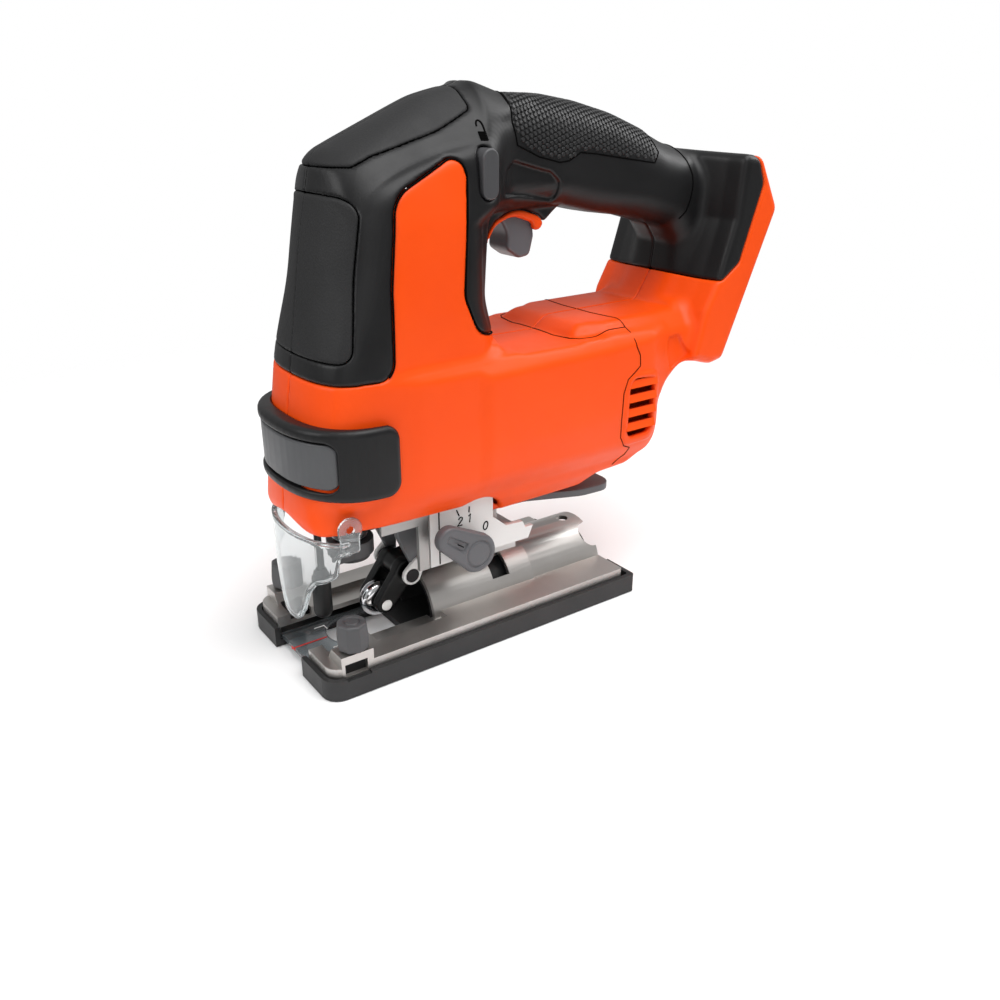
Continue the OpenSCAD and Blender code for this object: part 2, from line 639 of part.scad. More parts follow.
module motor_fan() color("#333") in_frame() {
  difference() {
    along_x(0, motor_z, fan_r, fan_x[0], fan_x[0] + 1.6);
    along_x(0, motor_z, shaft_r, 0, 100);
  }
  ring_x(shaft_r, 7, fan_x[0] + 1.6, fan_x[1]);
  for (i = [0:fan_blades - 1]) translate([fan_x[0] + 1.6, 0, motor_z]) rotate([i * 360 / fan_blades, 0, 0])
    block([-0.5, -0.6, 6.5], [fan_x[1] - fan_x[0] - 2, 0.6, fan_r - 0.6]);
}
module bearing(x) color("lightgray") in_frame() ring_x(shaft_r + fit, bearing_r, x, x + bearing_w);
module bearing_front() bearing(case_x[1] - 5);
module bearing_rear() bearing(bearing_x);
module control_board() color("darkgreen") in_frame() {
  block([-34, -board_y, case_roof + 0.2], [-8, board_y, case_roof + 2.2]);
  block([-30, -12, case_roof + 2.2], [-14, 12, case_roof + 8]);
}

// ---- blade clamp ----
clamp_low = clamp_top - clamp_len;
collar_t = 1.6;
shank = [1.8, 8.4];
module blade_clamp_body() color("gray") in_frame() difference() {
  union() {
    along_z(blade_x, 0, clamp_r - 1.8, clamp_low, clamp_top);
    along_z(blade_x, 0, clamp_r, clamp_low, clamp_low + 2);
    along_z(blade_x, 0, clamp_r, clamp_top - collar_t, clamp_top);
  }
  block([blade_x - shank[1] / 2, -shank[0] / 2, 0], [blade_x + shank[1] / 2, shank[0] / 2, clamp_top - 2]);
}
lever_zone = [clamp_low + 2 + gap, clamp_top - collar_t - gap - 2.6];
module blade_clamp_lever() color("gray") in_frame() difference() {
  union() {
    along_z(blade_x, 0, clamp_r + 1.6, lever_zone[0], lever_zone[1]);
    block([blade_x - 9.5, -9.3, lever_zone[0]], [blade_x - 3, 0, lever_zone[1]]);
  }
  along_z(blade_x, 0, clamp_r - 1.8 + fit, 0, 100);
  along_z(blade_x, 0, 30, lever_zone[1], 100);
}
// Wire bent into a coil about the Z axis.
function coil_ring(r, wire, a, z, n = 8) =
  [for (k = [0:n - 1]) let (b = 360 * k / n) [(r + wire * cos(b)) * cos(a), (r + wire * cos(b)) * sin(a), z + wire * sin(b)]];
module coil(r, wire, turns, height, steps = 14) {
  n = 8;
  rings = [for (i = [0:turns * steps]) coil_ring(r, wire, 360 * i / steps, height * i / (turns * steps), n)];
  points = [for (ring = rings) each ring];
  last = len(rings) - 1;
  polyhedron(points, concat(
    [[for (k = [0:n - 1]) k]],
    [for (i = [0:last - 1]) for (k = [0:n - 1]) [i * n + k, (i + 1) * n + k, (i + 1) * n + (k + 1) % n, i * n + (k + 1) % n]],
    [[for (k = [n - 1:-1:0]) last * n + k]]
  ), convexity = 6);
}
clamp_wire = 0.35;
module clamp_spring() color("silver") in_frame() translate([blade_x, 0, lever_zone[1] + gap + clamp_wire])
  coil(clamp_r - 1, clamp_wire, 2, clamp_top - collar_t - lever_zone[1] - 2 * (gap + clamp_wire));

// ---- saddle, fork and roller ----
saddle_x = [-1, 30];
saddle_y = 9.4;
band_x = 28.5;
bracket_side = [
  [-23.2, bracket_floor], [26, bracket_floor], [band_x, bracket_floor + 5.4], [24.5, bracket_floor + 5.4],
  [23, bracket_floor + 8.5], [14.2, bracket_floor + 9], [7.4, belly_z], [7.4, case_floor - 3], [-23.2, case_floor - 3]
];
module saddle_bracket() color("gainsboro") in_frame() difference() {
  union() {
    mirrored_y() side_prism(rounded(bracket_side), bracket_y - sheet, bracket_y);
    block([saddle_x[0], -bracket_y + sheet, bracket_floor], [band_x - 3, bracket_y - sheet, bracket_floor + 2.6]);
    block([saddle_x[0], -saddle_y, axis_h + tunnel_r * 0.6], [saddle_x[1], saddle_y, bracket_floor]);
    along_z(bolt_x, 0, bolt_r + 4, bracket_floor, lever_z - gap);
  }
  along_x(0, axis_h, tunnel_r + fit, -60, 60);
  along_z(bolt_x, 0, bolt_r, 0, 100);
  along_y(orbit_x, orbit_z, cam_r + fit, -30, -20);
}
ear_y = [9.1, 13.2];
ear_r = 4.3;
module fork_bracket() color("silver") in_frame() mirrored_y() difference() {
  union() {
    side_prism([[-33, body_floor - 2], [-20.5, body_floor - 2], [fork_x + ear_r, fork_z], [fork_x - ear_r, fork_z],
      [-31, 40]], ear_y[0], ear_y[1]);
    along_y(fork_x, fork_z, ear_r, ear_y[0], ear_y[1]);
  }
  along_y(fork_x, fork_z, fork_pin_r, 0, 30);
}
module fork_pin() color("silver") in_frame() along_y(fork_x, fork_z, fork_pin_r, -ear_y[1], ear_y[1]);
arm_t = fork_y - roller_w / 2 - gap;
module orbit_fork() color("#1c1c1c") in_frame() difference() {
  union() {
    mirrored_y() {
      along_y(roller_x, roller_z, 5.5, fork_y - arm_t, fork_y);
      along_y(fork_x, fork_z, 5.2, fork_y - arm_t, fork_y);
      side_prism([[roller_x - 2, roller_z + 5], [roller_x + 4, roller_z - 3.6], [fork_x + 4.8, fork_z - 2.2],
        [fork_x - 3, fork_z + 4.2]], fork_y - arm_t, fork_y);
    }
    along_y(fork_x, fork_z, 5.2, -fork_y, fork_y);
    side_prism([[fork_x, fork_z - 2], [-16, 31.4], [-4, 33.2], [-4, orbit_z - 4.3], [-9, orbit_z - 4.3], [-16, 35.6],
      [fork_x, fork_z + 5]], -5, 5);
  }
  along_y(roller_x, roller_z, pin_r, -30, 30);
  along_y(fork_x, fork_z, fork_pin_r + fit, -30, 30);
  along_y(roller_x, roller_z, roller_r + gap + 0.3, arm_t - fork_y, fork_y - arm_t);
}
module blade_roller() color("lightgray") in_frame() translate([roller_x, 0, roller_z]) rotate([90, 0, 0])
  rotate_extrude() polygon([[pin_r + fit, -roller_w / 2], [roller_r - 0.8, -roller_w / 2], [roller_r, -roller_w / 2 + 0.8],
    [roller_r, -0.9], [roller_r - 1.8, -0.7], [roller_r - 1.8, 0.7], [roller_r, 0.9], [roller_r, roller_w / 2 - 0.8],
    [roller_r - 0.8, roller_w / 2], [pin_r + fit, roller_w / 2]]);
module roller_pin() color("silver") in_frame() {
  along_y(roller_x, roller_z, pin_r, -fork_y, fork_y);
  mirrored_y() along_y(roller_x, roller_z, pin_r + 0.4, fork_y, fork_y + 0.5);
}

// ---- orbit lever ----
orbit_face = -bracket_y - 0.4;
orbit_t = 10;
module orbit_lever() color("dimgray") in_frame() difference() {
  union() {
    along_y(orbit_x, orbit_z, orbit_r, orbit_face - orbit_t, orbit_face - 4.2);
    along_y(orbit_x, orbit_z, orbit_r - 3, orbit_face - 5, orbit_face - 0.4);
    translate([orbit_x, orbit_face - orbit_t, orbit_z]) rotate([0, -145, 0]) difference() {
      block([0, 0.6, -6.8], [orbit_reach, orbit_t - 4.6, 6.8]);
      translate([orbit_reach, 0, 0]) for (s = [-1, 1]) translate([0, -1, s * 6.8]) rotate([0, 45, 0])
        cube([4.5, 30, 4.5], center = true);
    }
  }
  along_y(orbit_x, orbit_z, cam_r, orbit_face - 2, 0);
}
module orbit_cam_shaft() color("silver") in_frame() difference() {
  along_y(orbit_x, orbit_z, cam_r, orbit_face - 2, 7);
  block([-big, -6, 0], [big, 8, orbit_z - 2.6]);
}

// ---- guards ----
module finger_guard() color("#333") in_frame() along_z(rod_x, 0, rod_r, 20, case_floor - 1);
module finger_guard_tip() color("black") in_frame() difference() {
  union() {
    along_z(rod_x, 0, 3.9, 19, 34);
    translate([rod_x, 0, 19]) sphere(r = 3.9);
    translate([rod_x, 0, 34]) cylinder(r1 = 3.9, r2 = 2.2, h = 4);
  }
  along_z(rod_x, 0, rod_r, 20, 100);
}
guard_rim = [[0, 20.5], [5, 28.5], [12, 36], [20, 42], [24.5, 47], [26, 54], [40, 54]];
guard_top = body_floor - 2.6;
guard_plan_out = ellipse(ear_x, guard_reach, guard_y, 16);
guard_plan_in = ellipse(ear_x + 0.01, guard_reach - guard_t, guard_y - guard_t, 16);
module clear_guard() color("lightblue", 0.4) in_frame() {
  difference() {
    plan_prism(guard_plan_out, 10, guard_top);
    plan_prism(concat(guard_plan_in, [[ear_x + 20, 0]]), 0, 100);
    front_prism(concat(guard_rim, [[60, 54], [60, 0], [-60, 0], [-60, 54]],
      [for (i = [len(guard_rim) - 1:-1:1]) [-guard_rim[i][0], guard_rim[i][1]]]));
  }
  mirrored_y() {
    difference() {
      along_y(ear_x + 1, ear_z, 5, guard_y - guard_t, guard_y);
      along_y(ear_x + 1, ear_z, 1.6, 0, 50);
    }
    block([ear_x - 3.4, guard_y - guard_t, guard_top - 3], [ear_x + 4.6, guard_y, ear_z - 3]);
  }
}

// ---- shoe ----
gap_y = rail_y - 2.1;
module shoe_outline(t, r) polygon(rounded([[plate_front + t, -plate_y + t, r], [plate_front + t, plate_y - t, r],
  [plate_back - t, plate_y - t, 1], [plate_back - t, -plate_y + t, 1]]));
module gap_zone(grow, z0, z1) block([-big, -rail_y + grow, z0], [rail_back - grow, rail_y - grow, z1]);
boss_x = [-71, -57.2];
slot_x = [-69.6, -60];
slot_z = [8.4, 13.6];
dip_x = [-50, rail_back];
dip_y = plate_y - 10.5;
boss_y = plate_y - 11.5;
module plate_skin(t) {
  difference() {
    translate([0, 0, sole_t]) linear_extrude(plate_h - t - sole_t) shoe_outline(t, 6);
    gap_zone(-t, 0, 100);
    mirrored_y() block([dip_x[0] - t, rail_y, plate_h - rail_dip - t], [dip_x[1] + t, dip_y + t, 100]);
  }
  mirrored_y() front_prism([[boss_y + t, 5], [boss_y + t, plate_h - t], [boss_y + 3 + t * 0.4, boss_top - t],
    [plate_y - t, boss_top - t], [plate_y - t, 5]], boss_x[0] + t, boss_x[1] - t);
}
module tunnel(t) {
  along_x(0, axis_h, tunnel_r - t, tunnel_front, tunnel_mid);
  along_x(0, axis_h, tail_r - t, tunnel_mid, plate_back);
}
module shoe_plate() color("silver") in_frame() difference() {
  union() { plate_skin(0); intersection() { tunnel(0); block([-big, -big, sole_t], [big, big, 60]); } }
  difference() { translate([0, 0, -1]) plate_skin(plate_t); }
  plate_skin(plate_t);
  along_x(0, axis_h, tunnel_r - plate_t, tunnel_front - 1, tunnel_mid);
  along_x(0, axis_h, tail_r - plate_t, tunnel_mid - 1, plate_back + 1);
  intersection() { tunnel(plate_t); block([-big, -big, -1], [big, big, 60]); }
  block([-big, -tail_r + plate_t, -1], [big, tail_r - plate_t, axis_h]);
  mirrored_y() block([slot_x[0], rail_y - 1, slot_z[0]], [slot_x[1], big, slot_z[1]]);
  arc_slot(tunnel_r + 5, tunnel_r - 6);
  along_z(guide_x, guide_y, 2.5, boss_top - 5, boss_top + 1);
  along_z(guide_x, -guide_y, 2.5, boss_top - 5, boss_top + 1);
  along_z(latch_x, 0, 2.8, 20, 40);
  translate([plate_back, 0, axis_h]) rotate([41, 0, 0]) along_z(0, 0, 6.5, 10, 40);
}
arc_reach = bevel_max + 15;
// The arc slot in the tunnel: a sector as wide as the bolt's travel.
module arc_slot(r1, r0) intersection() {
  difference() { along_x(0, axis_h, r1, bolt_x - arc_slot_w / 2, bolt_x + arc_slot_w / 2);
    along_x(0, axis_h, r0, 0, 40); }
  front_prism([[0, axis_h], [60 * sin(arc_reach), axis_h + 60 * cos(arc_reach)], [60, 90], [-60, 90],
    [-60 * sin(arc_reach), axis_h + 60 * cos(arc_reach)]]);
}
module cover_outline(t) polygon(rounded([[shoe_front + t, -shoe_w / 2 + t, 7 - t], [shoe_front + t, shoe_w / 2 - t, 7 - t],
  [-shoe_front - t, shoe_w / 2 - t, 1.5], [-shoe_front - t, -shoe_w / 2 + t, 1.5]]));
gap_back = -28.6;
rivets = [[-42, plate_y - 5.5], [7.5, plate_y - 11.8], [55, plate_y - 13.4]];
rivet_r = 1.6;
module shoe_cover() color("#1a1a1a") in_frame() difference() {
  linear_extrude(cover_h) cover_outline(0);
  translate([0, 0, sole_t]) linear_extrude(20) cover_outline(cover_wall);
  block([-big, -gap_y, -1], [gap_back, gap_y, 50]);
  block([plate_back + 0.2, -tail_r, sole_t], [100, tail_r, 50]);
  mirrored_y() block([slot_x[0] - 0.4, plate_y - 5.5, slot_z[0] - 0.6], [slot_x[1] + 0.4, big, 50]);
  mirrored_y() for (p = rivets) along_z(p[0], p[1], rivet_r, -1, 10);
}
// Posts that hold the steel plate on the cover.
module shoe_rivets() color("gray") in_frame() mirrored_y() for (p = rivets)
  along_z(p[0], p[1], rivet_r, 1, plate_h - plate_t);
insert_y = 11.2;
insert_x = shoe_front + 3;
insert_t = 2.2;
module sight_insert() color("#556", 0.6) in_frame() difference() {
  block([insert_x, -rail_y + gap, sole_t], [gap_back - 8, rail_y - gap, sole_t + insert_t]);
  block([blade_x, -insert_y, 0], [0, insert_y, 20]);
  along_z(blade_x, 0, gap_r, 0, 20);
}
duct_r = 14.4;
module dust_duct() color("#111") in_frame() difference() {
  intersection() {
    along_x(0, axis_h, duct_r, tunnel_front + 2, 70);
    block([-big, -big, sole_t], [big, big, 60]);
  }
  along_x(0, axis_h + 0.6, duct_r - 2, -60, 100);
}

// ---- bevel clamp ----
pad_len = 13;
module bevel_clamp_pad() color("gray") in_frame() difference() {
  intersection() {
    along_x(0, axis_h, tunnel_r - plate_t - fit, bolt_x - pad_len / 2, bolt_x + pad_len / 2);
    block([0, -7, axis_h + duct_r + 0.4], [40, 7, 60]);
  }
  along_z(bolt_x, 0, bolt_r, 0, 100);
}
module bevel_bolt() color("silver") in_frame() {
  along_z(bolt_x, 0, bolt_r, axis_h + duct_r + 0.5, lever_z + lever_t + 0.8);
}
lever_plan = [
  [0, -10, 6], [17, -11, 6], [42, -21, 10], [lever_len, -22, 7], [lever_len, -4, 7], [34, 6, 8], [12, 10, 8], [0, 10, 8],
  [-10, 6, 6], [-10, -6, 6]
];
module bevel_lever() color("gray") in_frame() difference() {
  translate([bolt_x, 0, lever_z]) linear_extrude(lever_t) polygon(rounded(lever_plan));
  along_z(bolt_x, 0, bolt_r + fit, 0, 100);
}

// ---- guide knobs ----
module guide_knob(way) color("dimgray") in_frame() translate([guide_x, way * guide_y, 0]) {
  intersection() {
    translate([0, 0, boss_top + 0.4]) rotate(22.5) cylinder(r = knob_r, h = knob_h, $fn = 8);
    translate([0, 0, boss_top + 0.4]) cylinder(r1 = knob_r + 0.2, r2 = knob_r - 1.6, h = knob_h);
  }
  along_z(0, 0, 2.5 - fit, slot_z[1] + 0.2, boss_top + 0.5);
}
module guide_knob_left() guide_knob(-1);
module guide_knob_right() guide_knob(1);

// ---- trigger and lock-off ----
trigger_side = [
  [20, 177, 2], [38, 177, 1], [38.5, 165, 4], [39.3, 161, 3], [37.4, 153.2, 2.5], [33, 152.2, 3], [26.5, 156.3, 3],
  [28, 161, 8], [24, 167.5, 4], [17.2, 168.8, 2]
];
module trigger() color("dimgray") in_frame() difference() {
  union() {
    side_prism(rounded(trigger_side), -trigger_w / 2, trigger_w / 2);
    along_y(pivot[0], pivot[1], 2.6, -trigger_w / 2, trigger_w / 2);
  }
  along_y(pivot[0], pivot[1], pivot_r + fit, -20, 20);
}
module trigger_pin() color("silver") in_frame() along_y(pivot[0], pivot[1], pivot_r, -12, 12);
switch_z = [182, 190];
module trigger_switch() color("#222") in_frame()
  block([20, -switch_y, switch_z[0]], [trigger_x[1], switch_y, switch_z[1]]);
module trigger_spring() color("silver") in_frame() translate([33, 0, 177.7]) coil(2.6, 0.4, 3, 3.6);
module lock_off_button() color("gray") in_frame()
  capsule_y(button_x, button_z, button_w, button_h, -head_y + 3.1, head_y - 3.1);

housing_left();
housing_right();
grip_skin_left();
grip_skin_right();
head_pad_front();
head_pad_top();
badge_frame();
badge_plate();
battery_dock();
terminal_block();
terminal_blades();
housing_screws();
gearcase();
gearcase_cover();
gearcase_screws();
plunger_bush_lower();
plunger_bush_upper();
plunger();
drive_gear();
gear_arbor();
crank_roller();
counterweight();
motor_stator();
motor_windings();
motor_rotor();
motor_pinion();
motor_fan();
bearing_front();
bearing_rear();
control_board();
blade_clamp_body();
blade_clamp_lever();
clamp_spring();
saddle_bracket();
fork_bracket();
orbit_fork();
fork_pin();
blade_roller();
roller_pin();
orbit_lever();
orbit_cam_shaft();
finger_guard();
finger_guard_tip();
clear_guard();
shoe_plate();
shoe_cover();
shoe_rivets();
sight_insert();
dust_duct();
bevel_bolt();
bevel_clamp_pad();
bevel_lever();
guide_knob_left();
guide_knob_right();
trigger();
trigger_pin();
trigger_switch();
trigger_spring();
lock_off_button();
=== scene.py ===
# Looks of a cordless jigsaw: moulded shells, cast and pressed metal, clear guard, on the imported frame.
# The shells are drawn from the same outlines as the frame's solids; lengths in the drawing are millimetres,
# with x from the middle of the shoe to the rear, y from the split of the shells and z from the floor.
import json
from functools import reduce
from math import acos, atan2, ceil, copysign, cos, pi, radians, sin, tan

import bmesh
import bpy
import numpy as np
from mathutils import Matrix, Vector
from numpy import hypot, maximum, minimum

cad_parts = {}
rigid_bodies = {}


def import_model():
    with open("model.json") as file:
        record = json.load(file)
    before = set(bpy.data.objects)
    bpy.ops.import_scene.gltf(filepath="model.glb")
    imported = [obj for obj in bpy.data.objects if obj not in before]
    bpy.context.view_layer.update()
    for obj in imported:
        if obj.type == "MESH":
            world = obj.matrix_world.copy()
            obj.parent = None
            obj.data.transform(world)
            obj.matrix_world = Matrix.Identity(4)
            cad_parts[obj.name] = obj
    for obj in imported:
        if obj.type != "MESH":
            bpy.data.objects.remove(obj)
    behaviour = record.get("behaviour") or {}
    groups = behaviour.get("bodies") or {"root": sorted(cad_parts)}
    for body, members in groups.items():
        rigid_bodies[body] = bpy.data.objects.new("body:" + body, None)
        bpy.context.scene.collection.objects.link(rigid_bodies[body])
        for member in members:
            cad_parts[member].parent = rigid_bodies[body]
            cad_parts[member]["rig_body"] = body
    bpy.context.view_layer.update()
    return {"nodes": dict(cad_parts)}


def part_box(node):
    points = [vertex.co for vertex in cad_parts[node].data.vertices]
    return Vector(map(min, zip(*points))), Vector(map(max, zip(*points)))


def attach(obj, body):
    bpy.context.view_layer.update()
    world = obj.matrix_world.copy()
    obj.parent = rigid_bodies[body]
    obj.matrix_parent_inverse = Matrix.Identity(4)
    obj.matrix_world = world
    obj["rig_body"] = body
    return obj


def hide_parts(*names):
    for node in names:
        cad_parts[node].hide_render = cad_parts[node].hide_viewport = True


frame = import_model()
nodes = frame["nodes"]

shoe_low, shoe_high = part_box("shoe_cover")
shoe_mid = (shoe_low.x + shoe_high.x) / 2


def metres(p):
    """A point of the drawing, in the frame."""
    return Vector(p) / 1000 + Vector((shoe_mid, 0, 0))


def linked(name, data):
    """A new object of the scene."""
    thing = bpy.data.objects.new(name, data)
    bpy.context.scene.collection.objects.link(thing)
    return thing


# ---- camera, floor and light
lens_over_sensor, sensor = 0.941, 36.0
camera_data = bpy.data.cameras.new("camera")
camera_data.sensor_width = sensor
camera_data.lens = lens_over_sensor * sensor
camera_data.clip_start, camera_data.clip_end = 0.02, 20
camera = linked("camera", camera_data)
azimuth, elevation = radians(-35.6), radians(23.5)
camera.location = (-0.23545, -0.31602, 0.21402)
look = Vector((-sin(azimuth) * cos(elevation), cos(azimuth) * cos(elevation), -sin(elevation)))
camera.rotation_mode = "QUATERNION"
camera.rotation_quaternion = look.to_track_quat("-Z", "Y")
bpy.context.scene.camera = camera
bpy.context.scene.view_settings.view_transform = "Standard"


def lamp(name, place, aim, size, watts):
    """A soft rectangular studio lamp."""
    data = bpy.data.lights.new(name, "AREA")
    data.shape = "RECTANGLE"
    data.size, data.size_y = size
    data.energy = watts
    box = linked(name, data)
    box.location = place
    box.rotation_mode = "QUATERNION"
    box.rotation_quaternion = (Vector(aim) - Vector(place)).to_track_quat("-Z", "Y")


lamp("overhead_softbox", (0.05, -0.42, 1.0), (0.0, 0.0, 0.1), (0.9, 0.7), 9.5)
lamp("front_softbox", (-1.2, 0.1, 0.75), (0.0, 0.0, 0.12), (0.5, 0.8), 5.5)
lamp("side_softbox", (-0.75, -1.15, 0.4), (0.05, 0.0, 0.12), (0.7, 0.6), 1.3)
lamp("rear_strip", (0.95, -0.1, 0.85), (0.0, 0.0, 0.15), (0.3, 0.8), 4.5)


# ---- finishes
def colour(code):
    """Linear colour of an sRGB hex value."""
    parts = [int(code[i:i + 2], 16) / 255 for i in (1, 3, 5)]
    return tuple(c / 12.92 if c <= 0.04045 else ((c + 0.055) / 1.055) ** 2.4 for c in parts) + (1.0,)


def add(tree, kind, settings=None):
    """Adds a node. settings sets its properties and sockets, and joins those given a node or its output."""
    node = tree.nodes.new(kind)
    for key, value in (settings or {}).items():
        if isinstance(value, bpy.types.Node):
            value = value.outputs[0]
        if isinstance(value, bpy.types.NodeSocket):
            tree.links.new(value, node.inputs[key])
        elif isinstance(key, str) and hasattr(node, key) and key not in node.inputs:
            setattr(node, key, value)
        else:
            node.inputs[key].default_value = value
    return node


cloud_size, smudge_size = 38, 16  # millimetres


def finish(name, base, roughness, metallic=0.0, grain=None, bump=0.0, spread=0.06, shade=None, streak=None,
        specular=0.5, clear=0.0, ior=None):
    """A material. grain is the size of its texture in mm and bump its height in mm; shade is its second colour;
    spread is how far the roughness wanders; streak stretches the grain along an axis."""
    material = bpy.data.materials.new(name)
    material.use_nodes = True
    tree = material.node_tree
    tree.nodes.clear()
    place = add(tree, "ShaderNodeTexCoord").outputs["Object"]
    turned = add(tree, "ShaderNodeMapping", {"Scale": streak or (1, 1, 1), "Vector": place})
    look_of = {"Base Color": colour(base), "Roughness": roughness, "Metallic": metallic,
        "Specular IOR Level": specular, "Transmission Weight": clear}
    if ior:
        look_of["IOR"] = ior
    shader = add(tree, "ShaderNodeBsdfPrincipled", look_of)
    if shade:
        clouds = add(tree, "ShaderNodeTexNoise", {"Scale": 1000 / cloud_size, "Detail": 4.0, "Roughness": 0.6,
            "Vector": place})
        ramp = add(tree, "ShaderNodeMapRange", {"From Min": 0.35, "From Max": 0.68, "Value": clouds})
        mixed = add(tree, "ShaderNodeMix", {"data_type": "RGBA", 6: colour(base), 7: colour(shade), 0: ramp})
        tree.links.new(mixed.outputs[2], shader.inputs["Base Color"])
    if spread:
        smudge = add(tree, "ShaderNodeTexNoise", {"Scale": 1000 / smudge_size, "Detail": 5.0, "Roughness": 0.62,
            "Vector": turned})
        wander = add(tree, "ShaderNodeMapRange", {"From Min": 0.3, "From Max": 0.7, "To Min": roughness - spread,
            "To Max": roughness + spread, "Value": smudge})
        tree.links.new(wander.outputs[0], shader.inputs["Roughness"])
    if grain and bump:
        texture = add(tree, "ShaderNodeTexNoise", {"Scale": 1000 / grain, "Detail": 2.0, "Roughness": 0.55,
            "Vector": turned})
        relief = add(tree, "ShaderNodeBump", {"Strength": 1.0, "Distance": bump / 1000, "Height": texture})
        tree.links.new(relief.outputs[0], shader.inputs["Normal"])
    add(tree, "ShaderNodeOutputMaterial", {"Surface": shader})
    return material


# The room round the object: white to the eye, dimmer and graded from floor to ceiling as a light source.
world = bpy.data.worlds.new("studio")
bpy.context.scene.world = world
world.use_nodes = True
room = world.node_tree
room.nodes.clear()
ray = add(room, "ShaderNodeLightPath")
direction = add(room, "ShaderNodeTexCoord")
height = add(room, "ShaderNodeSeparateXYZ", {"Vector": direction.outputs["Generated"]})
graded = add(room, "ShaderNodeMapRange", {"From Min": -0.3, "From Max": 0.9, "To Min": 0.22, "To Max": 0.66,
    "Value": height.outputs["Z"]})
dim = add(room, "ShaderNodeBackground", {"Color": (1, 1, 1, 1), "Strength": graded})
white = add(room, "ShaderNodeBackground", {"Color": (1, 1, 1, 1), "Strength": 1.0})
seen = add(room, "ShaderNodeMixShader", {0: ray.outputs["Is Camera Ray"], 1: dim, 2: white})
add(room, "ShaderNodeOutputWorld", {"Surface": seen})


# ---- outlines of the body: across, up and the corner's radius if it isn't sharp
def outline(text):
    """Corners [across, up, radius] of an outline or path."""
    return [[*map(float, corner.split()), 0][:3] for corner in text.split(",")]


body_side = outline("""
    -78 62.5, 8 60.5 6.5, 8 51.2 1, 56 52.2 4, 63 57.8 5, 79 59.2 8, 88.5 65.5 8, 94 78 6, 94.5 92.5 6,
    107 104.6 6, 119 101.2 5, 126.5 102.6 3, 153.2 166.8 5, 140.6 188.6 5, 119 191.4 8, 108 194.6 20, 96 199.8 40,
    80 205.8 50, 62 210.2 60, 44 212.8 60, 23 213.2 18, 6.5 218.9 18, -10 213.2 30, -40 200.1 20, -53.5 194 9,
    -62 165 30, -78 80""")
handle_hole = outline("""
    15 121.0 5, 45 121.0 3, 52 126 8, 104 126.6 3, 112.3 139.7 6, 113.6 152 5, 108 159.5 5, 90 164.2 20,
    68 167.2 20, 50 171 6, 14 171 5, 10.5 142 20""")
nose_rear = outline("-5 -33.6 8, 5.4 -29.4 6, 11.5 -18 5, 20 -12, 20 12, 11.5 18 5, 5.4 29.4 6, -5 33.6 8")


def bow(middle, long, half, power):
    """The front half of an oval in plan; a power over 2 is blunter, one under 2 more pointed."""
    turns = [pi * (0.5 + k / 28) for k in range(29)]
    return [[middle - long * abs(cos(t)) ** (2 / power), half * copysign(abs(sin(t)) ** (2 / power), sin(t)), 0]
        for t in turns]


nose_low = nose_rear + bow(-44, 27.4, 33.7, 2.7)
nose_high = nose_rear + bow(-44, 27.4, 33.7, 1.6)
head_front = outline("""
    26.2 59.5 1, 26.8 71 2, 32.5 76 4, 33.5 84 20, 33.5 140 30, 32 172 30, 28.5 192 12, 18 207 14, 8 219 10""")
barrel_front = outline("20 50.2 4, 27 60 6, 28.4 64 3, 35 73 10, 37 86 20, 37 121.2 0.5, 10 121.4 1")
hump_front = outline("27.5 100, 27.5 119.8 2, 21 127.2 3")
barrel_plan = outline("-62 14 8, -48 30 14, -30 33.4 20, -5 34.2 3, -0.8 37 4, 62 37 20, 84 36 8, 95.5 29 6")
hump_plan = [[46.5, 29, 6], [118, 29, 0]]
dock_plan = outline("119.8 7 12, 126 27.6 5, 127.4 36.8 2.5, 170 36.8")
dock_levels, dock_shifts = [100, 126, 139.7, 163.4, 187, 220], [-22, -15.3, -7.6, 0, 1.8, 3]
strut_front = outline("24 86 4, 31 92 4, 31 119 6, 24 128 8")
front_pad = outline("-90 127.2, -55.2 127.2 5, -46.2 180.2 6, -55 181.6, -90 182")
top_pad = outline("-90 191, -45 191 2, -38.5 194 5, -12 201.8, 3.4 208.4 2, 1.5 240, -90 240")
panel_side = outline("""
    -52 117, -52 119.2, -39.8 119.2 7, -38.9 150, -35.4 181.4 11, -8.8 194.6 5, -6.2 187 6, -9.2 145 10,
    -3.4 131.5 8, 15.5 126.2 3, 15.5 117""")
skin_side = outline("""
    -80 119.2, -49 119.2, -40 119.2 3, 15.5 126 2, 40 150, 84 150, 104.6 150, 112.5 139.4, 118 138 3,
    121.5 138.4 2, 131 145 3, 142 177.6 6, 136 192, 136 240, -80 240""")
skirt_side = outline("""
    11 173.4, 11 155 1, 15 156.8 1, 16.2 160.8 5, 19.4 166 6, 27.6 169.4 10, 37.2 166.2 1.5, 38.4 162.6 1.5,
    41.6 163.4 2, 42.9 165.9 2, 50.4 171.9 3, 50.4 173.4""")
collar_side = outline("""
    8 150, 14.6 157.5, 16 163 5, 19.2 167.7 5, 29.5 172.3 14, 41 168.4 6, 42.8 165.7 1, 46 163, 46 150""")
trigger_recess = outline("""
    17.4 187.1 3, 21.6 190.2 2, 40.1 185.4 2, 44.7 181.7 2, 44.7 174.2 2, 26.4 177.4 2, 15.5 178 2""")
strut_panel = outline("95.4 115.8 2, 102.9 116 2, 107.8 107.2 2, 98.4 99.6 2")
vent_rim = outline("67.8 72 5, 88.2 73 5, 89.4 103.6 6, 69 104.8 6")
vent_mouth = outline("70.3 75.6 4, 85.4 76.4 4, 86 101.2 4, 70.8 102.4 4")
screw_places = outline("-36 166, 0 166, 4.5 135, 2.6 73, 64 116, 89 100, 107 114, 120 176, 98 180, 56 190")
nose_lean, nose_ref = 0.147, 92.0
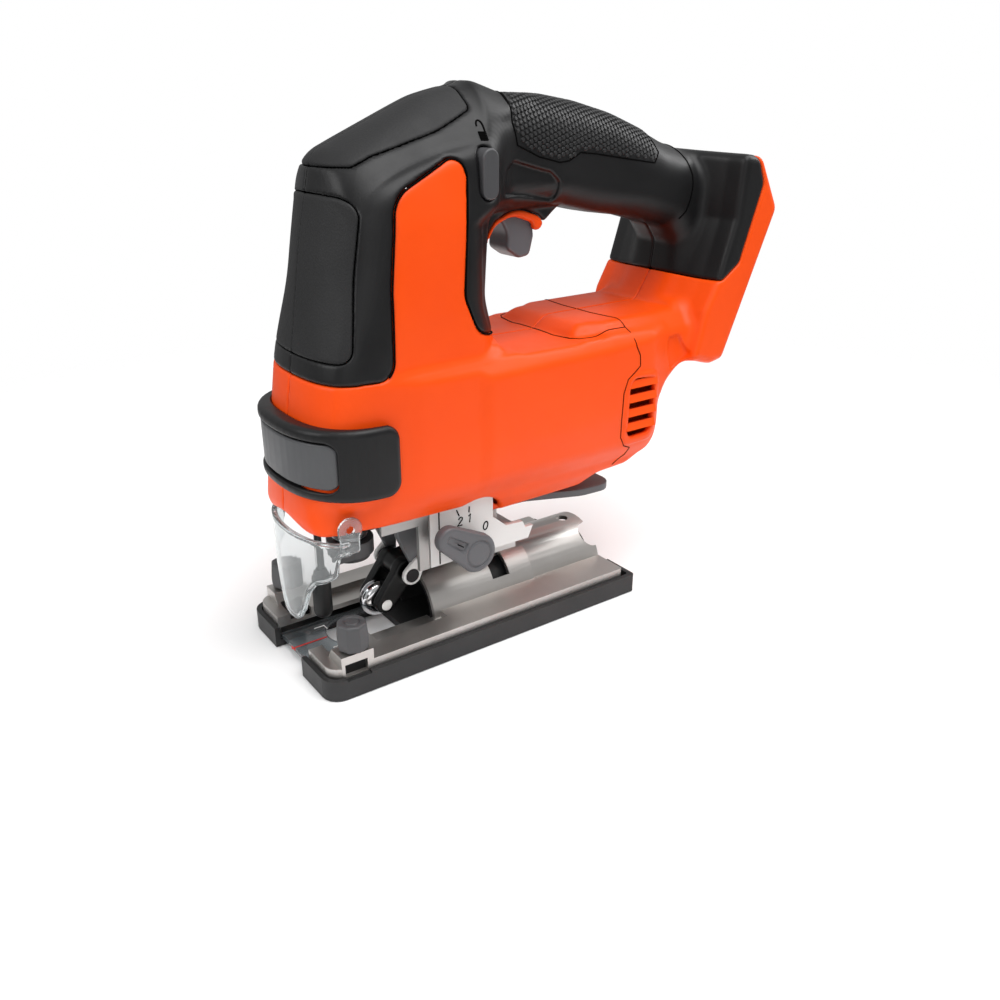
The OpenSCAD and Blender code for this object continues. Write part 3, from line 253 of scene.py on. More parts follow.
dock_at, dock_tilt = (140.05, 134.7), radians(22.9)
wall, seam_half = 2.8, 0.12


def rounded(corners, step=1.2):
    """The outline with an arc in place of each corner that has a radius."""
    points, n = [], len(corners)
    for i in range(n):
        a, b, c = (np.array(corners[(i + k) % n][:2], float) for k in (-1, 0, 1))
        r = corners[i][2] if len(corners[i]) > 2 else 0
        u, w = (a - b) / np.linalg.norm(a - b), (c - b) / np.linalg.norm(c - b)
        half = acos(np.clip(u @ w, -1, 1)) / 2
        if r <= 0 or half > radians(89):
            points.append(b)
            continue
        middle = b + (u + w) / np.linalg.norm(u + w) * r / sin(half)
        p, q = b + u * r / tan(half) - middle, b + w * r / tan(half) - middle
        start = atan2(p[1], p[0])
        turn = atan2(p[0] * q[1] - p[1] * q[0], p @ q)
        steps = max(2, ceil(abs(turn) * r / step))
        points += [middle + r * np.array([cos(start + turn * k / steps), sin(start + turn * k / steps)])
            for k in range(steps + 1)]
    return np.array(points, np.float32)


def both(corners):
    """Corners [half width, up, r] and their mirror images."""
    return corners + [[-c[0], c[1], c[2]] for c in corners[::-1]]


def both_y(corners):
    """Corners [along, half width, r] and their mirror images."""
    return corners + [[c[0], -c[1], c[2]] for c in corners[::-1] if c[1]]


def inside_ring(ring, u, v):
    """True for points inside the closed ring."""
    inside = np.zeros(np.broadcast(u, v).shape, bool)
    for (ax, ay), (bx, by) in zip(ring, np.roll(ring, -1, axis=0)):
        if ay != by:
            inside ^= (v >= min(ay, by)) & (v < max(ay, by)) & (u < ax + (v - ay) / (by - ay) * (bx - ax))
    return inside


def outline_gap(corners, u, v):
    """Signed distance, negative inside, from every point of the net u by v to the outline."""
    ring = rounded(corners)
    u, v = u[:, None], v[None, :]
    nearest = np.full(np.broadcast(u, v).shape, 1e9, np.float32)
    for (ax, ay), (bx, by) in zip(ring, np.roll(ring, -1, axis=0)):
        ex, ey = bx - ax, by - ay
        long = ex * ex + ey * ey
        if long < 1e-9:
            continue
        t = np.clip(((u - ax) * ex + (v - ay) * ey) / long, 0, 1)
        du, dv = u - ax - t * ex, v - ay - t * ey
        minimum(nearest, du * du + dv * dv, out=nearest)
    nearest = np.sqrt(nearest)
    return np.where(inside_ring(ring, u, v), -nearest, nearest)


def between_rows(table, place):
    """The table's rows at places between its whole ones."""
    cell = np.clip(place.astype(int), 0, len(table) - 2)
    share = (place - cell)[..., None]
    return (1 - share) * table[cell] + share * table[cell + 1]


class Stock:
    """A block of sample points that forms are carved from, with the drawing's axes."""

    def __init__(self, low, high, pitch, coarse=0.8):
        pitch = pitch
        self.low, self.pitch = np.array(low, np.float32), pitch
        self.axes = [np.arange(low[i], high[i] + pitch, pitch, dtype=np.float32) for i in range(3)]
        self.x, self.y, self.z = np.ix_(*self.axes)

    def side(self, corners):
        return outline_gap(corners, self.axes[0], self.axes[2])[:, None, :]

    def plan(self, corners):
        return outline_gap(corners, self.axes[0], self.axes[1])[:, :, None]

    def front(self, corners):
        return outline_gap(corners, self.axes[1], self.axes[2])[None, :, :]

    def leaning_plan(self, corners, shifts):
        """The plan outline's prism, moved back at each level by its own shift."""
        reach = np.arange(-140, 200, 0.5, dtype=np.float32)
        table = outline_gap(corners, reach, self.axes[1])
        across = self.axes[0][:, None] - np.asarray(shifts, np.float32)[None, :]
        return between_rows(table, (across - reach[0]) / 0.5).transpose(0, 2, 1)


def cut_round(a, b, r):
    """What a and b share, with the edge between them rounded to r."""
    return minimum(-r, maximum(a, b)) + np.sqrt(maximum(a + r, 0) ** 2 + maximum(b + r, 0) ** 2)


def join_round(a, b, r):
    """a and b together, with a fillet of r in the corner between them."""
    return maximum(r, minimum(a, b)) - np.sqrt(maximum(r - a, 0) ** 2 + maximum(r - b, 0) ** 2)


def bar(stock, place, half, r):
    """A box round place with half sizes and edges of radius r; 0 in half means without end."""
    gaps = [np.abs(axis - p) - h + r for axis, p, h in zip((stock.x, stock.y, stock.z), place, half) if h]
    return np.sqrt(sum(maximum(gap, 0) ** 2 for gap in gaps)) + minimum(reduce(maximum, gaps), 0) - r


def hole_y(stock, place, r):
    """A round bore across the body at place [x, z]."""
    return hypot(stock.x - place[0], stock.z - place[1]) - r


def turned_to(stock, place, angle):
    """Coordinates from place [x, z], along a direction turned by the angle and square to it."""
    dx, dz = stock.x - place[0], stock.z - place[1]
    return dx * cos(angle) + dz * sin(angle), dz * cos(angle) - dx * sin(angle)


def between(stock, a, b, wide_a, wide_b):
    """A tapered bar in the side drawing from point a to point b with round ends."""
    along = np.array(b, float) - np.array(a, float)
    share = np.clip(((stock.x - a[0]) * along[0] + (stock.z - a[1]) * along[1]) / (along @ along), 0, 1)
    far = hypot(stock.x - a[0] - share * along[0], stock.z - a[1] - share * along[1])
    return far - (wide_a + (wide_b - wide_a) * share)


def ease(value, low, high):
    """0 below low, 1 above high, and smooth between."""
    t = np.clip((value - low) / (high - low), 0, 1)
    return t * t * (3 - 2 * t)


def arched(stock, corners, radius):
    """The side outline, drooping to both sides of the split like an arch of the given radius."""
    table = outline_gap(corners, stock.axes[0], stock.axes[2])
    deep = minimum(np.abs(stock.axes[1]), radius * 0.9)
    droop = (radius - np.sqrt(radius ** 2 - deep ** 2)) / stock.pitch
    last = len(stock.axes[2]) - 1.001
    level = minimum(np.arange(len(stock.axes[2])) + droop[:, None], last)
    return between_rows(table.T, level).transpose(2, 0, 1).astype(np.float32)


def body_form(stock):
    """The whole outer form: leaning head, barrel with its hump, tubular grip, battery dock and strut."""
    profile, hole = stock.side(body_side), stock.side(handle_hole)
    deep = np.abs(stock.y)
    # the nose is blunt at its foot and pointed like a bow above
    sharp = ease(stock.z, 118, 160)
    lean = nose_lean * (stock.axes[2] - nose_ref)
    nose = (1 - sharp) * stock.leaning_plan(nose_low, lean) + sharp * stock.leaning_plan(nose_high, lean)
    head = cut_round(nose, stock.front(both(head_front)), 9)
    head = cut_round(cut_round(head, arched(stock, body_side, 26), 8), -hole, 5)
    # the waist behind the head, where the fingers reach round to the trigger
    behind = 9.5 + 8 * ease(stock.z, 169, 177) + 3.6 * (1 - ease(stock.z, 126, 143)) + 26 * ease(stock.z, 203, 216)
    waist = maximum(-(0.81 * (stock.x - behind) + 0.58 * (deep - 15)), 125 - stock.z)
    head = cut_round(head, -waist, 5)
    barrel = cut_round(stock.front(both(barrel_front)), stock.plan(both_y(barrel_plan)), 4)
    # the long bevel between the barrel's top and side, a little lower at its rear end
    bevel = 0.79 * (deep - 33) + 0.61 * (stock.z - 119.3) - 0.017 * (stock.x - 14)
    barrel = cut_round(barrel, bevel, 0.8)
    hump = cut_round(stock.front(both(hump_front)), stock.plan(both_y(hump_plan)), 3)
    barrel = join_round(barrel, hump, 1.2)
    barrel = cut_round(barrel, profile, 2.5)
    width = 18.4 - 1.8 * np.exp(-((stock.x - 66) / 24) ** 2)
    grip = cut_round(cut_round(deep - width, profile, 17), -hole, 12)
    grip = maximum(grip, maximum(10 - stock.x, stock.x - 124))
    dock_front = stock.leaning_plan(both_y(dock_plan), np.interp(stock.axes[2], dock_levels, dock_shifts))
    dock = cut_round(maximum(dock_front, 99 - stock.z), profile, 3.5)
    strut = cut_round(cut_round(stock.front(both(strut_front)), np.abs(stock.x - 92) - 34, 6), profile, 3)
    whole = join_round(head, grip, 7)
    whole = join_round(whole, barrel, 3)
    whole = join_round(whole, dock, 3)
    whole = join_round(whole, strut, 4)
    return cut_round(maximum(whole, profile), -hole, 2)


def soften(field, times):
    """Rounds every edge of the form a little, as moulding does."""
    for _ in range(times):
        for axis in range(3):
            ahead, behind = np.roll(field, -1, axis), np.roll(field, 1, axis)
            edge = [slice(None)] * 3
            edge[axis] = -1
            ahead[tuple(edge)] = field[tuple(edge)]
            edge[axis] = 0
            behind[tuple(edge)] = field[tuple(edge)]
            field = 0.5 * field + 0.25 * (ahead + behind)
    return field


def sampled(field, spots):
    """The field's values between its sample points."""
    cell = np.clip(spots.astype(int), 0, np.array(field.shape) - 2)
    share = (spots - cell).astype(np.float32)
    total = np.zeros(len(spots), np.float32)
    for corner in np.ndindex(2, 2, 2):
        total += np.prod(np.where(corner, share, 1 - share), axis=1) * field[tuple((cell + corner).T)]
    return total


def slopes_at(slopes, spots):
    """The field's slope at each spot."""
    return np.stack([sampled(s, spots) for s in slopes], axis=1)


def carve(name, stock, field, material, flip=False):
    """The closed surface where the field is zero, as a mesh with the field's own slopes for its shading."""
    inside = field < 0
    corners = list(np.ndindex(2, 2, 2))
    shape = np.array(field.shape)
    count = np.zeros(shape - 1, np.int8)
    for c in corners:
        count += inside[tuple(slice(o, n - 1 + o) for o, n in zip(c, shape))]
    mixed = (count > 0) & (count < 8)
    cells = np.argwhere(mixed)
    index = np.full(shape - 1, -1, np.int32)
    index[mixed] = np.arange(len(cells))
    spots, hits = np.zeros((len(cells), 3), np.float32), np.zeros(len(cells), np.float32)
    for a in corners:
        for axis in range(3):
            if a[axis]:
                continue
            b = list(a)
            b[axis] = 1
            fa, fb = field[tuple((cells + a).T)], field[tuple((cells + b).T)]
            cross = (fa < 0) != (fb < 0)
            t = fa[cross] / (fa[cross] - fb[cross])
            where = np.repeat(np.array([a], np.float32), cross.sum(), axis=0)
            where[:, axis] = t
            spots[cross] += where
            hits[cross] += 1
    spots = cells + spots / hits[:, None]
    slopes = np.gradient(field)
    for turn in range(3):
        value = sampled(field, spots)
        slope = slopes_at(slopes, spots)
        steep = maximum((slope ** 2).sum(axis=1), 0.2)
        if turn < 2:
            move = -(value / steep)[:, None] * slope
            spots += np.clip(move, -0.35, 0.35)
    normals = slope / maximum(np.linalg.norm(slope, axis=1), 1e-6)[:, None]
    faces = []
    for axis in range(3):
        u, v = (axis + 1) % 3, (axis + 2) % 3
        low, high = [slice(1, -1)] * 3, [slice(1, -1)] * 3
        low[axis], high[axis] = slice(0, -1), slice(1, None)
        here, there = inside[tuple(low)], inside[tuple(high)]
        for out in (True, False):
            start = np.argwhere(here & ~there if out else there & ~here)
            start[:, u] += 1
            start[:, v] += 1
            ring = []
            for mu, mv in ((1, 1), (0, 1), (0, 0), (1, 0)):
                cell = start.copy()
                cell[:, u] -= mu
                cell[:, v] -= mv
                ring.append(index[tuple(cell.T)])
            quad = np.stack(ring if out else ring[::-1], axis=1)
            faces.append(quad)
    faces = np.concatenate(faces)
    faces = faces[(faces >= 0).all(axis=1)]
    points = stock.low + spots * stock.pitch
    if flip:
        points = points * (1, -1, 1)
        normals = normals * (1, -1, 1)
        faces = faces[:, ::-1]
    return mesh_piece(name, points / 1000 + (shoe_mid, 0, 0), faces, material, normals)


def mesh_piece(name, points, faces, material, normals=None):
    """A mesh object at the origin, from points in the frame's metres and four-cornered faces."""
    mesh = bpy.data.meshes.new(name)
    faces = np.asarray(faces, np.int32)
    mesh.vertices.add(len(points))
    mesh.vertices.foreach_set("co", np.asarray(points, np.float32).ravel())
    mesh.loops.add(faces.size)
    mesh.loops.foreach_set("vertex_index", faces.ravel())
    mesh.polygons.add(len(faces))
    mesh.polygons.foreach_set("loop_start", np.arange(0, faces.size, 4, dtype=np.int32))
    mesh.update(calc_edges=True)
    mesh.validate()
    if normals is not None and len(normals) == len(mesh.vertices):
        mesh.shade_smooth()
        mesh.normals_split_custom_set_from_vertices([tuple(map(float, n)) for n in normals])
    mesh.materials.append(material)
    return linked(name, mesh)


def on_body(piece, body):
    """Names the body a piece rides with."""
    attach(piece, body)


def placed(piece, node, slot):
    """Puts a finished piece in place of a CAD node, on the node's own body."""
    on_body(piece, nodes[node]["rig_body"])
    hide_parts(node)


# ---- the finishes of this tool
# satin ABS: an even bright orange with a very soft sheen
orange_abs = finish("orange_abs_satin_moulded", "#f44f08", 0.40, shade="#f04b07", grain=0.55, bump=0.012,
    specular=0.24)
# glass-filled nylon, spark-eroded texture: a soft even sheen over a fine matte grain
black_nylon = finish("black_nylon_eroded", "#151516", 0.40, shade="#111112", grain=0.6, bump=0.014, specular=0.30)
# thermoplastic rubber: duller than the nylon, with a coarser leathery grain
rubber_pad = finish("soft_rubber_grained", "#1c1c1d", 0.60, shade="#171718", grain=0.8, bump=0.09, specular=0.36)
# rubber of the grip scales, rubbed a little shinier by the hand
rubber_scale = finish("soft_rubber_scales", "#202021", 0.46, grain=0.5, bump=0.01, specular=0.45)
# brushed plastic plate in the badge, left bare
badge_grey = finish("badge_plate_grey_abs", "#4e4f51", 0.42, shade="#48494b", grain=0.4, bump=0.008)
# painted shade of deep grooves and moulded marks, and black print: nearly black, without shine
groove_shade_and_ink = finish("groove_shade_and_black_print", "#050505", 0.9, spread=0.0, specular=0.05)
# hairline joints of the orange shells: a red-brown shadow
clear_gap = finish("seam_shadow", "#2a0f05", 0.9, spread=0.0, specular=0.05)
# acetal levers and buttons: waxy mid grey
acetal_grey = finish("acetal_grey_moulded", "#535356", 0.42, shade="#555558", grain=0.5, bump=0.015)
# the same acetal a shade darker, on knobs and buttons
acetal_dark = finish("acetal_dark_grey", "#414143", 0.45, shade="#444446", grain=0.5, bump=0.015)
# nylon of the trigger: lighter grey and a little smoother
trigger_grey = finish("trigger_grey_nylon", "#636366", 0.38, shade="#5c5c60", grain=0.5, bump=0.012)

stock = Stock((-79.5, -39.6, 49.0), (154.5, 1.6, 220.5), 0.8, 1.6)
outer = soften(body_form(stock), 1)
joint_gap = 0.12  # millimetres left free beside each joint between two mouldings
top_lean, front_lean = 0.7, 0.5


def pad_zone(block, form, corners, lean):
    """A pad's outline with walls that run square to the surface, not square to the side drawing."""
    return block.side(corners) + lean * maximum(form, -3.5)


def pad_block(name, low, high, corners, lean):
    """One rubber pad's own finer block: name, samples and field."""
    fine = Stock(low, high, 0.5, 1.0)
    form = soften(body_form(fine), 2)
    thick = cut_round(maximum(form, -(form + 1.7)), fine.y + seam_half, 0.4)
    return name, fine, cut_round(thick, pad_zone(fine, form, corners, lean) + joint_gap, 0.9)


pad_blocks = [pad_block("front_pad", (-79.5, -34.5, 124.5), (-42, 1.2, 184.5), front_pad, front_lean),
    pad_block("top_pad", (-62, -34.5, 187.5), (6.5, 1.2, 220.5), top_pad, top_lean)]


def body_side_pieces(way):
    """The moulded pieces of one half of the body; way is -1 for the left half and 1 for the right."""
    side, flip, deep = ("left" if way < 0 else "right"), way > 0, np.abs(stock.y)
    # the flange round the trigger
    form = join_round(outer, cut_round(stock.side(skirt_side), deep - 9.9, 1.2), 1.5)
    # sunk places of the outer form, and the raised rim round the vent
    sunk = maximum(form, -maximum(stock.side(strut_panel), -(form + 1.3)))
    sunk = join_round(sunk, cut_round(form - 0.9, stock.side(vent_rim), 0.5), 0.3)
    sunk = cut_round(sunk, -maximum(stock.side(vent_mouth), 29 - deep), 0.9)
    # the arch over the saddle's printed scale
    sunk = cut_round(sunk, -maximum(hole_y(stock, (-1.5, 47.5), 15.4), 20 - deep), 0.8)
    # hollow inside, open for the trigger, the gear case, the battery and the lock-off
    shell = maximum(sunk, -(outer + wall))
    shell = maximum(shell, -bar(stock, (29.3, 0, 165), (13.9, 7.4, 16), 0.5))
    shell = maximum(shell, -bar(stock, (-24.7, 0, 30), (32.7, 24.4, 36.4), 0.5))
    dock_x, dock_z = turned_to(stock, dock_at, -dock_tilt)
    recess = maximum(maximum(-dock_x - 13.2, deep - 29.2), dock_z - 25.2)
    shell = cut_round(shell, -recess, 0.9)
    shell = cut_round(shell, -between(stock, (3, 181.75), (3, 192.25), 3.9, 3.9), 0.8)
    if way > 0:
        for place in screw_places:
            post = maximum(maximum(hole_y(stock, place, 4.6), outer + 1), 9.6 - deep)
            shell = maximum(minimum(shell, post), -maximum(hole_y(stock, place, 3.1), 11.4 - deep))
    shell = cut_round(shell, stock.y + seam_half, 0.45)
    # the rubber's zone: all above its lower edge but the orange panel and the trigger's collar
    black = cut_round(stock.side(skin_side), -stock.side(panel_side), 0.8)
    black = maximum(black, -maximum(stock.side(collar_side), deep - 10.6))
    orange = carve(f"body_shell_{side}", stock, cut_round(shell, joint_gap - black, 0.7), orange_abs, flip)
    pads = minimum(pad_zone(stock, form, front_pad, front_lean), pad_zone(stock, form, top_pad, top_lean))
    cover_field = cut_round(shell, black + joint_gap, 1.3)
    cover_field = cut_round(cover_field, -maximum(pads - joint_gap, -(form + 1.9)), 0.7)
    panel = maximum(maximum(stock.side(trigger_recess), -(form + 1.5)), 8 - deep)
    cover = carve(f"black_cover_{side}", stock, cut_round(cover_field, -panel, 0.7), black_nylon, flip)
    front, top = (carve(f"{name}_{side}", fine, field, rubber_pad, flip) for name, fine, field in pad_blocks)
    placed(orange, f"housing_{side}", "orange_shell")
    placed(cover, f"grip_skin_{side}", "black_skin")
    placed(front, "head_pad_front", "black_pad")
    placed(top, "head_pad_top", "black_pad")


body_side_pieces(-1)
body_side_pieces(1)


# ---- badge on the nose: a black bow frame with a bare plate
def bow_frame():
    """The badge's frame and plate, bent round the nose."""
    fine = Stock((-77.5, -37, 73.5), (-38.5, 37, 108), 0.5, 0.9)
    nose = fine.leaning_plan(nose_low, nose_lean * (fine.axes[2] - nose_ref))
    oval = fine.plan(bow(-46.5, 29.3, 35.9, 2.35) + [[-20, -35.9, 0], [-20, 35.9, 0]])
    face = cut_round(cut_round(fine.x + 40.8, np.abs(fine.z - 90.9) - 13.9, 6), oval, 2.4)
    frame_field = maximum(face, -(nose + 0.2))
    plate_zone = cut_round(cut_round(fine.x + 52.5, np.abs(fine.z - 90.7) - 8.7, 4), np.abs(fine.y) - 29.3, 3)
    seat = maximum(plate_zone - 0.9, -(oval + 2.0))
    frame_field = cut_round(frame_field, -seat, 0.7)
    placed(carve("badge_frame_shell", fine, frame_field, black_nylon), "badge_frame", "black_trim")
    face_of_plate = cut_round(maximum(oval + 0.75, -(oval + 1.95)), plate_zone, 0.6)
    placed(carve("badge_plate_bare", fine, face_of_plate, badge_grey), "badge_plate", "badge_grey")


bow_frame()


# ---- machined, cast and moulded parts kept from the frame
def dressed(node, material, edge, slot):
    """A copy of a CAD node with its edges broken, in place of the plain one."""
    angle = radians(30)
    mesh = nodes[node].data.copy()
    worked = bmesh.new()
    worked.from_mesh(mesh)
    bmesh.ops.remove_doubles(worked, verts=worked.verts, dist=0.000004)
    bmesh.ops.dissolve_degenerate(worked, dist=0.000002, edges=worked.edges)
    bmesh.ops.dissolve_limit(worked, angle_limit=radians(1.0), verts=worked.verts, edges=worked.edges)
    worked.to_mesh(mesh)
    worked.free()
    mesh.materials.clear()
    mesh.materials.append(material)
    piece = linked(f"{node}_finished", mesh)
    mesh.shade_smooth()
    mesh.set_sharp_from_angle(angle=angle)
    bevel = piece.modifiers.new("edges", "BEVEL")
    bevel.width, bevel.segments = edge / 1000, 2
    bevel.limit_method, bevel.angle_limit = "ANGLE", angle
    bevel.use_clamp_overlap = bevel.harden_normals = True
    placed(piece, node, slot)


# pressed and galvanised sheet: cool grey with long soft streaks from the rolls
rolled_steel = finish("pressed_steel_zinc", "#c4c1be", 0.40, metallic=1.0, shade="#bab7b3", grain=0.5, bump=0.003,
    streak=(0.3, 1, 1), spread=0.04)
# die-cast zinc saddle, painted plain white-grey for its printed scale
painted_bracket = finish("painted_saddle_plate", "#dddcda", 0.38, grain=0.5, bump=0.01)
# cast web behind the scale: mid grey and darker than its light ears, painted shade of its place behind the plate;
# faintly grainy
shaded_web_grey = finish("cast_web_painted_shade_grey", "#5d5e60", 0.5, grain=0.8, bump=0.03)
# die-cast alloy: dull silver with a sandy grain
cast_alloy = finish("die_cast_alloy", "#a9a8a6", 0.42, metallic=1.0, shade="#9c9b99", grain=0.8, bump=0.03)
# ground steel of rods and pins: bright, narrow highlights
bright_steel = finish("ground_steel", "#cfcfd0", 0.18, metallic=1.0, spread=0.05, grain=0.3, bump=0.003)
# chromed roller: almost a mirror
chrome = finish("chrome_roller", "#dcdcde", 0.08, metallic=1.0, spread=0.02)
# blued steel: dark with a soft glint
blued_steel = finish("blued_steel", "#2b2a2b", 0.34, metallic=1.0, spread=0.08)
# nylon under the shoe: matte black, slightly rough
black_cover = finish("black_nylon_sole", "#1a1a1b", 0.52, shade="#141415", grain=0.6, bump=0.02)
# phosphated casting: black, faintly metallic
black_iron = finish("phosphated_fork", "#101011", 0.36, metallic=0.4, grain=0.6, bump=0.012)
# rubber sleeve of the finger guard: deep dull black
guide_black = finish("black_rubber_sleeve", "#0e0e0f", 0.5)
# enamelled copper wire: warm and glossy
copper = finish("enamelled_copper", "#b4622d", 0.3, metallic=1.0, grain=0.5, bump=0.05)
# contact brass: yellow and bright
brass = finish("contact_brass", "#c9a24a", 0.28, metallic=1.0)
# sintered bronze: brown gold, grainy
bronze = finish("sintered_bronze", "#9b7440", 0.4, metallic=1.0, grain=0.4, bump=0.02)
# stacked lamination steel: fine dark lines across the grey
laminated = finish("lamination_steel", "#7d7d80", 0.4, metallic=1.0, grain=0.6, bump=0.05, streak=(6, 0.2, 0.2))
# solder mask: dark green, smooth
board_green = finish("circuit_board_solder_mask", "#17402a", 0.35, grain=1.5, bump=0.03)
# nylon of inner parts: dark grey, dull
dark_plastic = finish("dark_nylon_part", "#232324", 0.5, grain=0.6, bump=0.02)
# clear polycarbonate: almost invisible but for its rims
clear_plastic = finish("clear_polycarbonate", "#e3e9ea", 0.05, spread=0.0, clear=0.93, ior=1.52)
# smoky polycarbonate: grey and see-through
smoke_plastic = finish("smoke_polycarbonate", "#9aa2a6", 0.10, spread=0.0, clear=0.85, ior=1.5)

for material, names in (
        (dark_plastic, "battery_dock terminal_block motor_fan trigger_switch dust_duct"),
        (brass, "terminal_blades"),
        (blued_steel, "housing_screws fork_pin"),
        (cast_alloy, "gearcase_cover counterweight bevel_clamp_pad"),
        (bright_steel, "gearcase_screws drive_gear gear_arbor motor_rotor motor_pinion bearing_front bearing_rear "
            "clamp_spring trigger_spring trigger_pin shoe_rivets orbit_cam_shaft roller_pin"),
        (bronze, "plunger_bush_lower plunger_bush_upper"),
        (chrome, "crank_roller"),
        (laminated, "motor_stator"),
        (copper, "motor_windings"),
        (board_green, "control_board")):
    for node in names.split():
        # the CAD node stays as it is, with a real finish
        nodes[node].data.materials.clear()
        nodes[node].data.materials.append(material)
for node, material, edge, slot in (
        ("gearcase", cast_alloy, 0.5, "cast_alloy"),
        ("plunger", bright_steel, 0.4, "ground_steel"),
        ("blade_clamp_body", dark_plastic, 0.3, "dark_steel"),
        ("blade_clamp_lever", acetal_dark, 0.6, "lever_grey"),
        ("saddle_bracket", painted_bracket, 0.35, "zinc_steel"),
        ("finger_guard", guide_black, 0.2, "dark_steel"),
        ("finger_guard_tip", guide_black, 0.5, "black_trim"),
        ("shoe_plate", rolled_steel, 0.6, "shoe_steel"),
        ("shoe_cover", black_cover, 0.7, "black_trim"),
        ("sight_insert", smoke_plastic, 0.3, "smoke_plastic"),
        ("bevel_bolt", bright_steel, 0.4, "ground_steel"),
        ("bevel_lever", acetal_grey, 0.9, "lever_grey"),
        ("lock_off_button", acetal_dark, 0.9, "control_grey")):
    dressed(node, material, edge, slot)


# ---- what repeats or follows a surface, grown by node trees
slope_of_outer = np.gradient(outer)


def onto(points, way, tries=14):
    """Slides points of the left side onto the body along the given direction; also gives the body's normals."""
    spots = (np.array(points, np.float32) - stock.low) / stock.pitch
    way = np.array(way, np.float32)
    for _ in range(tries):
        slope = slopes_at(slope_of_outer, spots)
        steep = slope @ way
        steep = np.where(np.abs(steep) < 0.15, 0.15 * np.where(steep < 0, -1, 1), steep)
        spots += np.clip(-sampled(outer, spots) / steep, -3, 3)[:, None] * way
        spots = np.clip(spots, 0, np.array(outer.shape) - 1.01)
    slope = slopes_at(slope_of_outer, spots)
    return stock.low + spots * stock.pitch, slope / np.linalg.norm(slope, axis=1)[:, None]


def finely(corners, step=1.0):
    """The polyline with a point every step."""
    corners = np.array(corners, float)
    rows = [corners[:1]]
    for a, b in zip(corners, corners[1:]):
        n = max(1, ceil(np.linalg.norm(b - a) / step))
        rows.append(a + (b - a) * np.linspace(0, 1, n + 1)[1:, None])
    return np.concatenate(rows)


def grouped(name, sockets):
    """A node tree with the named inputs, and its two ends."""
    tree = bpy.data.node_groups.new(name, "GeometryNodeTree")
    face = tree.interface
    face.new_socket(name="Geometry", in_out="OUTPUT", socket_type="NodeSocketGeometry")
    face.new_socket(name="Geometry", in_out="INPUT", socket_type="NodeSocketGeometry")
    for label, kind in sockets.items():
        face.new_socket(name=label, in_out="INPUT", socket_type=f"NodeSocket{kind}")
    return tree, add(tree, "NodeGroupInput").outputs


def ended(tree, shape, material):
    """Closes a tree: real geometry with its material."""
    real = add(tree, "GeometryNodeRealizeInstances", {"Geometry": shape})
    painted = add(tree, "GeometryNodeSetMaterial", {"Geometry": real, "Material": material})
    add(tree, "NodeGroupOutput", {"Geometry": painted})
    return tree


def bead_tree():
    """A round bead along the edges of the mesh: seams, grooves, printed strokes."""
    tree, given = grouped("bead_along_edges", {"Radius": "Float", "Sides": "Int", "Material": "Material"})
    path = add(tree, "GeometryNodeMeshToCurve", {"Mesh": given["Geometry"]})
    ring = add(tree, "GeometryNodeCurvePrimitiveCircle", {"Radius": given["Radius"], "Resolution": given["Sides"]})
    bead = add(tree, "GeometryNodeCurveToMesh", {"Fill Caps": True, "Curve": path, "Profile Curve": ring})
    return ended(tree, bead.outputs["Mesh"], given["Material"])


def studs_tree(block=False):
    """A small shape on every point, turned to the point's facing and heading."""
    sizes = {"Size": "Vector"} if block else {"Sides": "Int", "Top": "Float", "Foot": "Float", "Height": "Float"}
    tree, given = grouped("bars_on_points" if block else "scales_on_points", {**sizes, "Uneven": "Float",
        "Seed": "Int", "Material": "Material"})
    if block:
        unit = add(tree, "GeometryNodeMeshCube", {"Size": given["Size"]})
    else:
        unit = add(tree, "GeometryNodeMeshCone", {"Vertices": given["Sides"], "Radius Top": given["Top"],
            "Radius Bottom": given["Foot"], "Depth": given["Height"]})
    facing = add(tree, "GeometryNodeInputNamedAttribute", {"data_type": "FLOAT_VECTOR", "Name": "facing"})
    heading = add(tree, "GeometryNodeInputNamedAttribute", {"data_type": "FLOAT_VECTOR", "Name": "heading"})
    up = add(tree, "FunctionNodeAlignRotationToVector", {"axis": "Z", "Vector": facing})
    turned = add(tree, "FunctionNodeAlignRotationToVector", {"axis": "X", "pivot_axis": "Z", "Rotation": up,
        "Vector": heading})
    uneven = add(tree, "ShaderNodeMath", {"operation": "SUBTRACT", 0: 1.0, 1: given["Uneven"]})
    size = add(tree, "FunctionNodeRandomValue", {"data_type": "FLOAT", "Seed": given["Seed"]})
    tree.links.new(uneven.outputs["Value"], size.inputs[2])
    size.inputs[3].default_value = 1.0
    placed = add(tree, "GeometryNodeInstanceOnPoints", {"Points": given["Geometry"], "Instance": unit,
        "Rotation": turned, "Scale": size.outputs[1]})
    return ended(tree, placed.outputs["Instances"], given["Material"])


beads, scales, bars = bead_tree(), studs_tree(), studs_tree(block=True)


